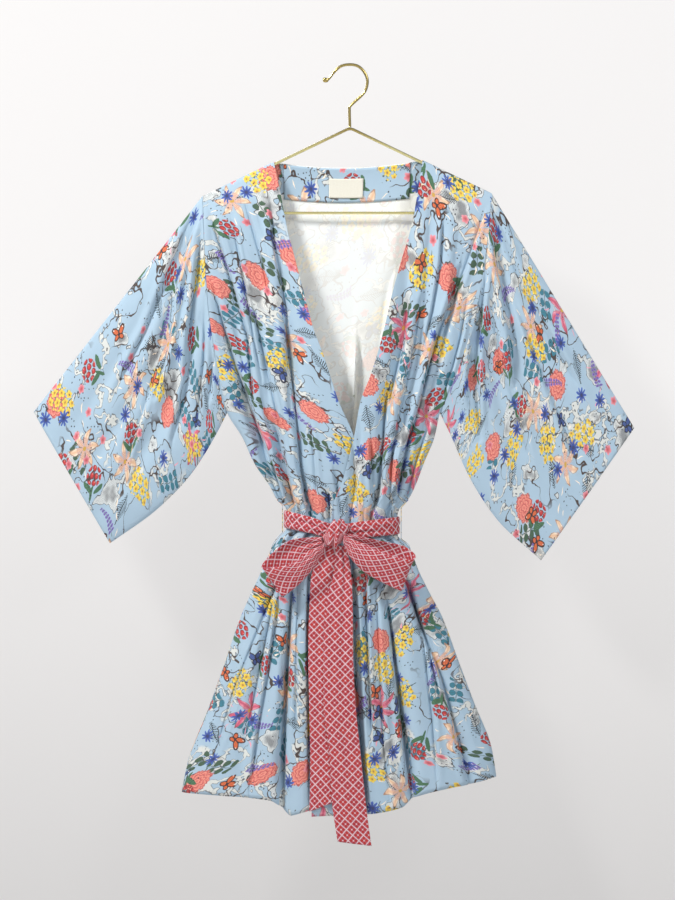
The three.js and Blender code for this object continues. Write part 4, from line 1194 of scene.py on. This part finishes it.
def splineThrough(points, count):
    # even points on a smooth curve through the given ones
    points = np.asarray(points, float)
    keys = lengthsAlong(points) / lengthsAlong(points)[-1]
    place = np.linspace(0, 1, count)
    padded = np.vstack([2 * points[0] - points[1], points, 2 * points[-1] - points[-2]])
    i = np.clip(np.searchsorted(keys, place, side="right") - 1, 0, len(points) - 2)
    t = ((place - keys[i]) / (keys[i + 1] - keys[i]))[:, None]
    p0, p1, p2, p3 = padded[i], padded[i + 1], padded[i + 2], padded[i + 3]
    return 0.5 * (2 * p1 + (p2 - p0) * t + (2 * p0 - 5 * p1 + 4 * p2 - p3) * t ** 2
                  + (3 * p1 - p0 - 3 * p2 + p3) * t ** 3)


# Each loop is given by its lower and upper edge, from the front of the knot round the
# folded end and back behind: picture column, picture row, depth in millimetres.
loopLook = {
    "along": 110, "across": 34, "cut": 0.056, "puff": 3.0, "hollow": 4.5, "pleats": 2.6,
    "left": {
        "names": ("bowLoopLeft", "bow_loop_left"), "shift": 0.71,
        "lower": [(324, 549, -50), (314, 566, -53), (300, 582, -53), (285, 594, -51.5), (283, 592, -48),
                  (291, 580, -46), (306, 561, -44.5), (322, 548, -43.5)],
        "upper": [(325, 542, -52), (309, 552, -58.5), (293, 562, -60), (271, 566, -57), (262.5, 565, -50),
                  (272, 553, -48), (292, 539, -47.5), (322, 536, -45)],
    },
    "right": {
        "names": ("bowLoopRight", "bow_loop_right"), "shift": 1.37,
        "lower": [(343, 541, -50), (351, 557, -52.5), (366, 572, -53), (397, 588, -51.5), (399, 586, -48),
                  (384, 572, -46), (364, 555, -44.5), (346, 545, -43.5)],
        "upper": [(344, 534, -52), (366, 545, -57), (386, 553, -58), (409, 558, -55.5), (414.5, 554, -50),
                  (403, 545, -48), (380, 540, -47), (346, 532, -45)],
    },
}


def bowLoop(which):
    look = loopLook[which]
    edges = []
    for name in ("lower", "upper"):
        places = np.array(look[name], float)
        xz = atPicture(places[:, :2])
        edges.append(splineThrough(stacked(xz[:, 0], places[:, 2], xz[:, 1]), loopLook["along"])[:, None, :])
    s = np.linspace(0, 1, loopLook["across"])[None, :]
    t = downTo(0, 1, loopLook["along"])
    grid = edges[0] + (edges[1] - edges[0]) * s[..., None]
    isFront = t < 0.5
    nearKnot = np.abs(2 * t - 1) ** 1.5
    front = np.sin(math.pi * s) ** 0.8 * np.sin(math.pi * np.clip(2 * t, 0, 1)) * isFront
    behind = np.sin(math.pi * s ** 1.6) * np.sin(math.pi * np.clip(2 * t - 1, 0, 1)) * ~isFront
    pleats = np.abs(np.cos(math.pi * (3.2 * s + 0.4 * t))) ** 0.7 * nearKnot * np.sin(math.pi * s) ** 0.5
    soft = 0.5 * np.sin(2 * math.pi * (1.3 * s + 1.7 * t)) * (1 - nearKnot)
    grid[..., 1] += np.where(isFront, -0.2, 0.2) - front * loopLook["puff"] + behind * loopLook["hollow"]
    grid[..., 1] += soft - pleats * loopLook["pleats"]
    u = lengthsAlong(grid).mean(axis=1, keepdims=True) / 1000 + look["shift"]
    return beltPiece(*look["names"], grid, stacked(u, s * loopLook["cut"]), flip=which == "right")


knotLook = {
    "x": -18, "y": -43.2, "z": -653, "halfWidth": 15, "halfDepth": 9, "halfHeight": 18, "tilt": 4.4,
    "around": 96, "across": 44,
}


def beltKnot():
    # one turn of the belt round the middle of the bow, gathered into folds
    turn = fullTurn(knotLook["around"])[:, None]
    s = np.linspace(-1, 1, knotLook["across"])[None, :]
    fold = 0.12 * np.sin(s * 8.5 + 0.9 * np.sin(turn * 2)) + 0.06 * np.sin(s * 15 + turn)
    radius = (1 - np.abs(s) ** 3.2 * 0.72) * (1 + fold)
    forward = np.sign(np.cos(turn)) * np.abs(np.cos(turn)) ** 0.8 * radius
    upward = np.sign(np.sin(turn)) * np.abs(np.sin(turn)) ** 0.8 * radius
    grid = stacked(knotLook["x"] + s * knotLook["halfWidth"] + knotLook["tilt"] * np.sin(turn),
                   knotLook["y"] - forward * knotLook["halfDepth"], knotLook["z"] + upward * knotLook["halfHeight"])
    grid = np.concatenate([grid, grid[:1]])
    uv = stacked(lengthsAlong(grid, 1) / 1000, lengthsAlong(grid) / 1000 + 0.9)
    return beltPiece("beltKnot", "belt_knot", grid, uv, flip=True)


tailLook = {
    "along": 170, "across": 40,
    "short": {
        "names": ("beltTailShort", "belt_tail_short"),
        "clear": 2.8, "endSlant": 18, "shift": 2.2, "folds": [(0.3, 1.6), (0.72, 1.0)],
        "rows": [(670, -33, -19.5, 7), (690, -47, -16, 2), (725, -54.4, -12, 0), (800, -56, -10.4, 0),
                 (900, -55.6, -9.4, 0), (995, -54, -8, 0), (1030, -54.6, -8.6, 0)],
    },
    "long": {
        "names": ("beltTailLong", "belt_tail_long"),
        "clear": 6.4, "endSlant": -6, "shift": 3.4, "folds": [(0.62, 2.0), (0.24, 1.2)],
        "rows": [(670, -18, -5, 9), (690, -19.5, 0, 3.4), (712, -23, 2.6, 0.6), (742, -31.2, 4.2, 0),
                 (818, -35, 6, 0), (893, -35, 9.4, 0), (951, -28.4, 14.6, 0), (1026, -23.6, 23.2, 0),
                 (1083, -15.4, 31.6, 0)],
    },
}


def beltTail(which):
    look = tailLook[which]
    table = np.array(look["rows"], float)
    level = downTo(table[0, 0], table[-1, 0], tailLook["along"])
    share = (level - table[0, 0]) / (table[-1, 0] - table[0, 0])
    s = np.linspace(0, 1, tailLook["across"])[None, :]
    left, right, lift = (readColumn(table, column, level) for column in (1, 2, 3))
    pleat = np.zeros_like(level * s)
    for place, height in look["folds"]:
        away = (s - place - 0.06 * np.sin(share * 7)) / 0.11
        pleat += height * (np.exp(-share * 3.2) * 1.1 + 0.25) * hill(away)
    wave = 0.25 * np.sin(share * 9 + s * 2) + 0.2 * np.sin(share * 17 + s * 4)
    y = pleat + wave - body["crestDepth"] - bodyDepth(level) - look["clear"] - lift - 1.4 * np.sin(math.pi * s)
    slant = look["endSlant"] * (s - 0.5) * smoothStep((share - 0.8) / 0.2)
    grid = stacked(left + (right - left) * s + 0.6 * np.sin(share * 11), y, -level + slant)
    return beltPiece(*look["names"], grid, stacked(lengthsAlong(grid, 1) / 1000, grid[..., 2] / 1000 + look["shift"]))


belt, beltGrid = beltBand()
knot, knotGrid = beltKnot()
loopLeft, loopLeftGrid = bowLoop("left")
loopRight, loopRightGrid = bowLoop("right")
tailShort, tailShortGrid = beltTail("short")
tailLong, tailLongGrid = beltTail("long")
print("stage: belt and bow")


# Belt loops at the side seams.
carrierLook = {
    "width": 6, "top": 607, "bottom": 676, "clear": 2.2, "outer": 3.2, "seam": 0.7, "sewn": 8, "thickness": 0.8,
    "cut": (0.012, 0.075), "cutArea": 0.0005,  # metres
}


def beltCarrier(side):
    top, bottom = carrierLook["top"], carrierLook["bottom"]
    level = downTo(top, bottom, 40)
    seam = bodyX(side, level) + side * carrierLook["seam"]
    outer = bodyX(side, beltLook["level"]) + side * (beltLook["sideClear"] + carrierLook["outer"])
    cloth = bodyX(side, level) + side * carrierLook["clear"]
    x = np.maximum(cloth, outer) if side > 0 else np.minimum(cloth, outer)
    ends = smoothStep((level - top) / carrierLook["sewn"]) * smoothStep((bottom - level) / carrierLook["sewn"])
    y = np.linspace(-0.5, 0.5, 8)[None, :] * carrierLook["width"] * (-side)
    grid = stacked(seam + (x - seam) * ends, y, -level)
    uv = stacked(lengthsAlong(grid, 1) / 1000 + 13 + side, lengthsAlong(grid) / 1000)
    names = ("carrierLeft", "belt_loop_left") if side < 0 else ("carrierRight", "belt_loop_right")
    return clothPiece(*names, "printed_cloth", grid, uv, [printOuter], carrierLook["thickness"])


carriers = [beltCarrier(-1), beltCarrier(1)]


# Stitching along the hems, cuffs and free edges.
stitchLook = {
    "length": 2.4, "gap": 0.9, "width": 0.55, "lift": 0.18, "hem": 11, "cuff": 12, "edge": 7, "facing": 3,
}


def insetLine(grid, edge, inset, outward, closed=False):
    # places at an even distance from one edge of the cloth, with the way out of it
    turned = {"bottom": grid[::-1], "left": grid.transpose(1, 0, 2), "right": grid[:, ::-1].transpose(1, 0, 2)}
    cloth = turned[edge]
    if closed:
        cloth = joined(cloth)
    reach = lengthsAlong(cloth)
    line = np.array([[np.interp(inset, reach[:, i], cloth[:, i, c]) for c in range(3)]
                     for i in range(cloth.shape[1])])
    inward = cloth[3] - cloth[0]
    normal = np.cross(np.gradient(line, axis=0), inward)
    normal /= np.linalg.norm(normal, axis=1)[:, None] + 1e-9
    facing = np.sign(line[:, 1]) if closed else outward
    return line, normal * np.sign((normal[:, 1] * facing).sum())


def stitching(name, lines):
    points, faces = [], []
    for line, normal in lines:
        reach = lengthsAlong(line)
        step = stitchLook["length"] + stitchLook["gap"]
        starts = np.arange(step, reach[-1] - step, step)

        def at(places, values):
            return np.stack([np.interp(places, reach, values[:, c]) for c in range(3)], axis=-1)

        out = at(starts, normal)
        first = at(starts, line) + out * stitchLook["lift"]
        last = at(starts + stitchLook["length"], line) + out * stitchLook["lift"]
        middle = (first + last) / 2
        across = np.cross(last - first, out)
        across *= stitchLook["width"] / 2 / np.linalg.norm(across, axis=1)[:, None]
        up = out * stitchLook["width"] / 2
        for ring in np.stack([first, last, middle - across, middle + up, middle + across, middle - up], axis=1):
            a = len(points)
            points.extend(ring.tolist())
            for s, t in ((2, 3), (3, 4), (4, 5), (5, 2)):
                faces += [(a, a + s, a + t), (a + 1, a + t, a + s)]
    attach(newPiece(name, points, faces, [thread]), "root")


hem, cuff, edge = stitchLook["hem"], stitchLook["cuff"], stitchLook["edge"]
for name, grid in (("stitchesOver", frontOverGrid), ("stitchesUnder", frontUnderGrid)):
    stitching(name, [insetLine(grid, "bottom", hem, -1), insetLine(grid, "left", edge, -1)])
stitching("stitchesBack", [insetLine(backGrid, "bottom", hem, 1)])
for name, grid in (("stitchesCuffLeft", sleeveLeftGrid), ("stitchesCuffRight", sleeveRightGrid)):
    stitching(name, [insetLine(grid, "bottom", cuff, 1, True)])
stitching("stitchesFacing", [insetLine(facingGrid, "bottom", stitchLook["facing"], -1)])
print("stage: stitching")


# The hanger: one closed wire for arms and bar, and one for the hook.
hangerLook = {
    "radius": 2, "sides": 18, "halfWidth": 200, "bar": 205.8, "apexBend": 12, "knob": 3.4,
    "hook": [(-36.5, 19.4), (-29.6, 18.8), (-21.3, 8.9), (-11.6, 0.4), (0.6, -2), (12, 0), (20.8, 7.7),
             (25.6, 19), (24, 31.6), (18, 40.8), (2.2, 55.6), (0.6, 61), (1.2, 85.6)],
}


def wireTube(name, node, points, radii, closed):
    count, sides = len(points), hangerLook["sides"]
    before = np.roll(points, 1, axis=0)
    after = np.roll(points, -1, axis=0)
    if not closed:
        before[0], after[-1] = points[0], points[-1]
    along = after - before
    along /= np.linalg.norm(along, axis=1)[:, None]
    inPlane = np.stack([-along[:, 1], along[:, 0]], axis=1)
    out, forward = np.cos(fullTurn(sides)) * radii[:, None], np.sin(fullTurn(sides)) * radii[:, None]
    ring = stacked(points[:, :1] + inPlane[:, :1] * out, forward, points[:, 1:] + inPlane[:, 1:] * out)
    faces = []
    for i in range(count if closed else count - 1):
        a, b = i * sides, ((i + 1) % count) * sides
        faces += [(a + s, b + s, b + (s + 1) % sides, a + (s + 1) % sides) for s in range(sides)]
    if not closed:
        faces.append(tuple(range(sides))[::-1])
        faces.append(tuple(range((count - 1) * sides, count * sides)))
    standsFor(newPiece(name, ring.reshape(-1, 3), faces, [brass]), node)


def roundedCorner(before, corner, after, radius, steps):
    before, corner, after = (np.asarray(p, float) for p in (before, corner, after))
    toBefore = (before - corner) / np.linalg.norm(before - corner)
    toAfter = (after - corner) / np.linalg.norm(after - corner)
    half = math.acos(float(toBefore @ toAfter)) / 2
    middle = (toBefore + toAfter) / np.linalg.norm(toBefore + toAfter)
    centre = corner + middle * radius / math.sin(half)
    start = corner + toBefore * radius / math.tan(half) - centre
    end = corner + toAfter * radius / math.tan(half) - centre
    sweep = math.acos(float(start @ end) / radius ** 2)
    t = np.linspace(0, 1, steps)[:, None]
    return centre + (start * np.sin((1 - t) * sweep) + end * np.sin(t * sweep)) / math.sin(sweep)


def hangerWires():
    reach = (hangerLook["bar"] - body["apexLevel"]) / body["armSlope"]
    apex = (body["apexX"], -body["apexLevel"])
    left = (body["apexX"] - reach, -hangerLook["bar"])
    right = (body["apexX"] + reach, -hangerLook["bar"])
    halfTurn = math.atan(body["armSlope"]) / 2
    endRadius = (reach - hangerLook["halfWidth"]) / (1 / math.tan(halfTurn) - 1)
    points = np.vstack([
        roundedCorner(right, apex, left, hangerLook["apexBend"], 14),
        roundedCorner(apex, left, right, endRadius, 40),
        roundedCorner(left, right, apex, endRadius, 40),
    ])
    radius, knob = hangerLook["radius"], hangerLook["knob"]
    wireTube("hangerFrame", "hanger_frame", points, np.full(len(points), float(radius)), True)
    line = splineThrough([(x, -level) for x, level in hangerLook["hook"]], 110)
    swell = np.sqrt(np.maximum(0, 1 - np.abs((lengthsAlong(line) - knob) / knob) ** 4))
    wireTube("hangerHook", "hanger_hook", line, radius + (knob - radius) * swell, False)


hangerWires()
print("stage: hanger")


# The cut of each cloth that shows, in metres.
def declareSheet(piece, grid, closed=False):
    cloth = joined(grid) if closed else grid
    width = float(lengthsAlong(cloth, 1)[:, -1].max()) / 1000
    length = float(lengthsAlong(cloth)[-1].max()) / 1000
    down, right = cloth[1:, :-1] - cloth[:-1, :-1], cloth[:-1, 1:] - cloth[:-1, :-1]
    area = float(np.linalg.norm(np.cross(down, right), axis=-1).sum()) / 1e6
    area = min(max(area, 0.3 * width * length), width * length)
    print("sheet", piece.name, round(width, 3), round(length, 3), round(area, 4))


for piece, grid in ((back, backGrid), (frontUnder, frontUnderGrid), (frontOver, frontOverGrid)):
    declareSheet(piece, grid)
for piece, grid in ((sleeveLeft, sleeveLeftGrid), (sleeveRight, sleeveRightGrid)):
    declareSheet(piece, grid, True)
declareSheet(backNeckFacing, facingGrid)
declareSheet(neckLabel, labelGrid)
declareSheet(belt, beltGrid, True)
declareSheet(knot, knotGrid)
declareSheet(loopLeft, loopLeftGrid)
declareSheet(loopRight, loopRightGrid)
for piece, grid in ((tailShort, tailShortGrid), (tailLong, tailLongGrid)):
    declareSheet(piece, grid)


# Floor and wall. The wall glows with painted light, and its glow is darker towards the bottom as painted shade.
def roomMaterial(name, colour, seenFromFront):
    material, shader = newMaterial(name, 0.95)
    spot = objectPlace()
    grain = noise(spot, 1.4, 4.0)
    lit = tuple(c * (room["wallShare"] if seenFromFront else 1) for c in colour)
    connect(mixColour(lit, tuple(c * 0.97 for c in lit), grain), shader.inputs["Base Color"])
    if seenFromFront:
        # painted light: the wall glows, with painted shade that darkens the glow towards the bottom
        low = ramp(split(spot)[2], -0.8, -0.34)
        connect(mixColour(colour, tuple(c * 0.5 for c in colour), low), shader.inputs["Emission Color"])
        shader.inputs["Emission Strength"].default_value = room["paintedWallLight"]
        mixed = addNode("MixShader")  # clear when seen from behind
        for socket, source in zip(mixed.inputs, (addNode("NewGeometry").outputs["Backfacing"], shader.outputs[0],
                                                 addNode("BsdfTransparent").outputs[0])):
            connect(NodeNumber(source), socket)
        connect(NodeNumber(mixed.outputs[0]), material.node_tree.nodes["Material Output"].inputs["Surface"])
    return material


def roomPlane(name, material, corners):
    plane = newPiece(name, corners, [(0, 1, 2, 3)], [material], False)
    return plane


half, wallY, floorZ = room["wallSize"] / 2, room["wallY"], room["floorZ"]
wall = roomPlane("roomWall", roomMaterial("whiteWall", rgb(250, 248, 247), True),
                 [(-half, wallY, floorZ), (half, wallY, floorZ), (half, wallY, half), (-half, wallY, half)])
wall.visible_shadow = wall.visible_diffuse = wall.visible_glossy = wall.visible_transmission = False
roomPlane("roomFloor", roomMaterial("paleFloor", rgb(236, 234, 232), False),
          [(-half, -half, floorZ), (half, -half, floorZ), (half, half, floorZ), (-half, half, floorZ)])

bpy.context.view_layer.update()
print("stage: finishing")
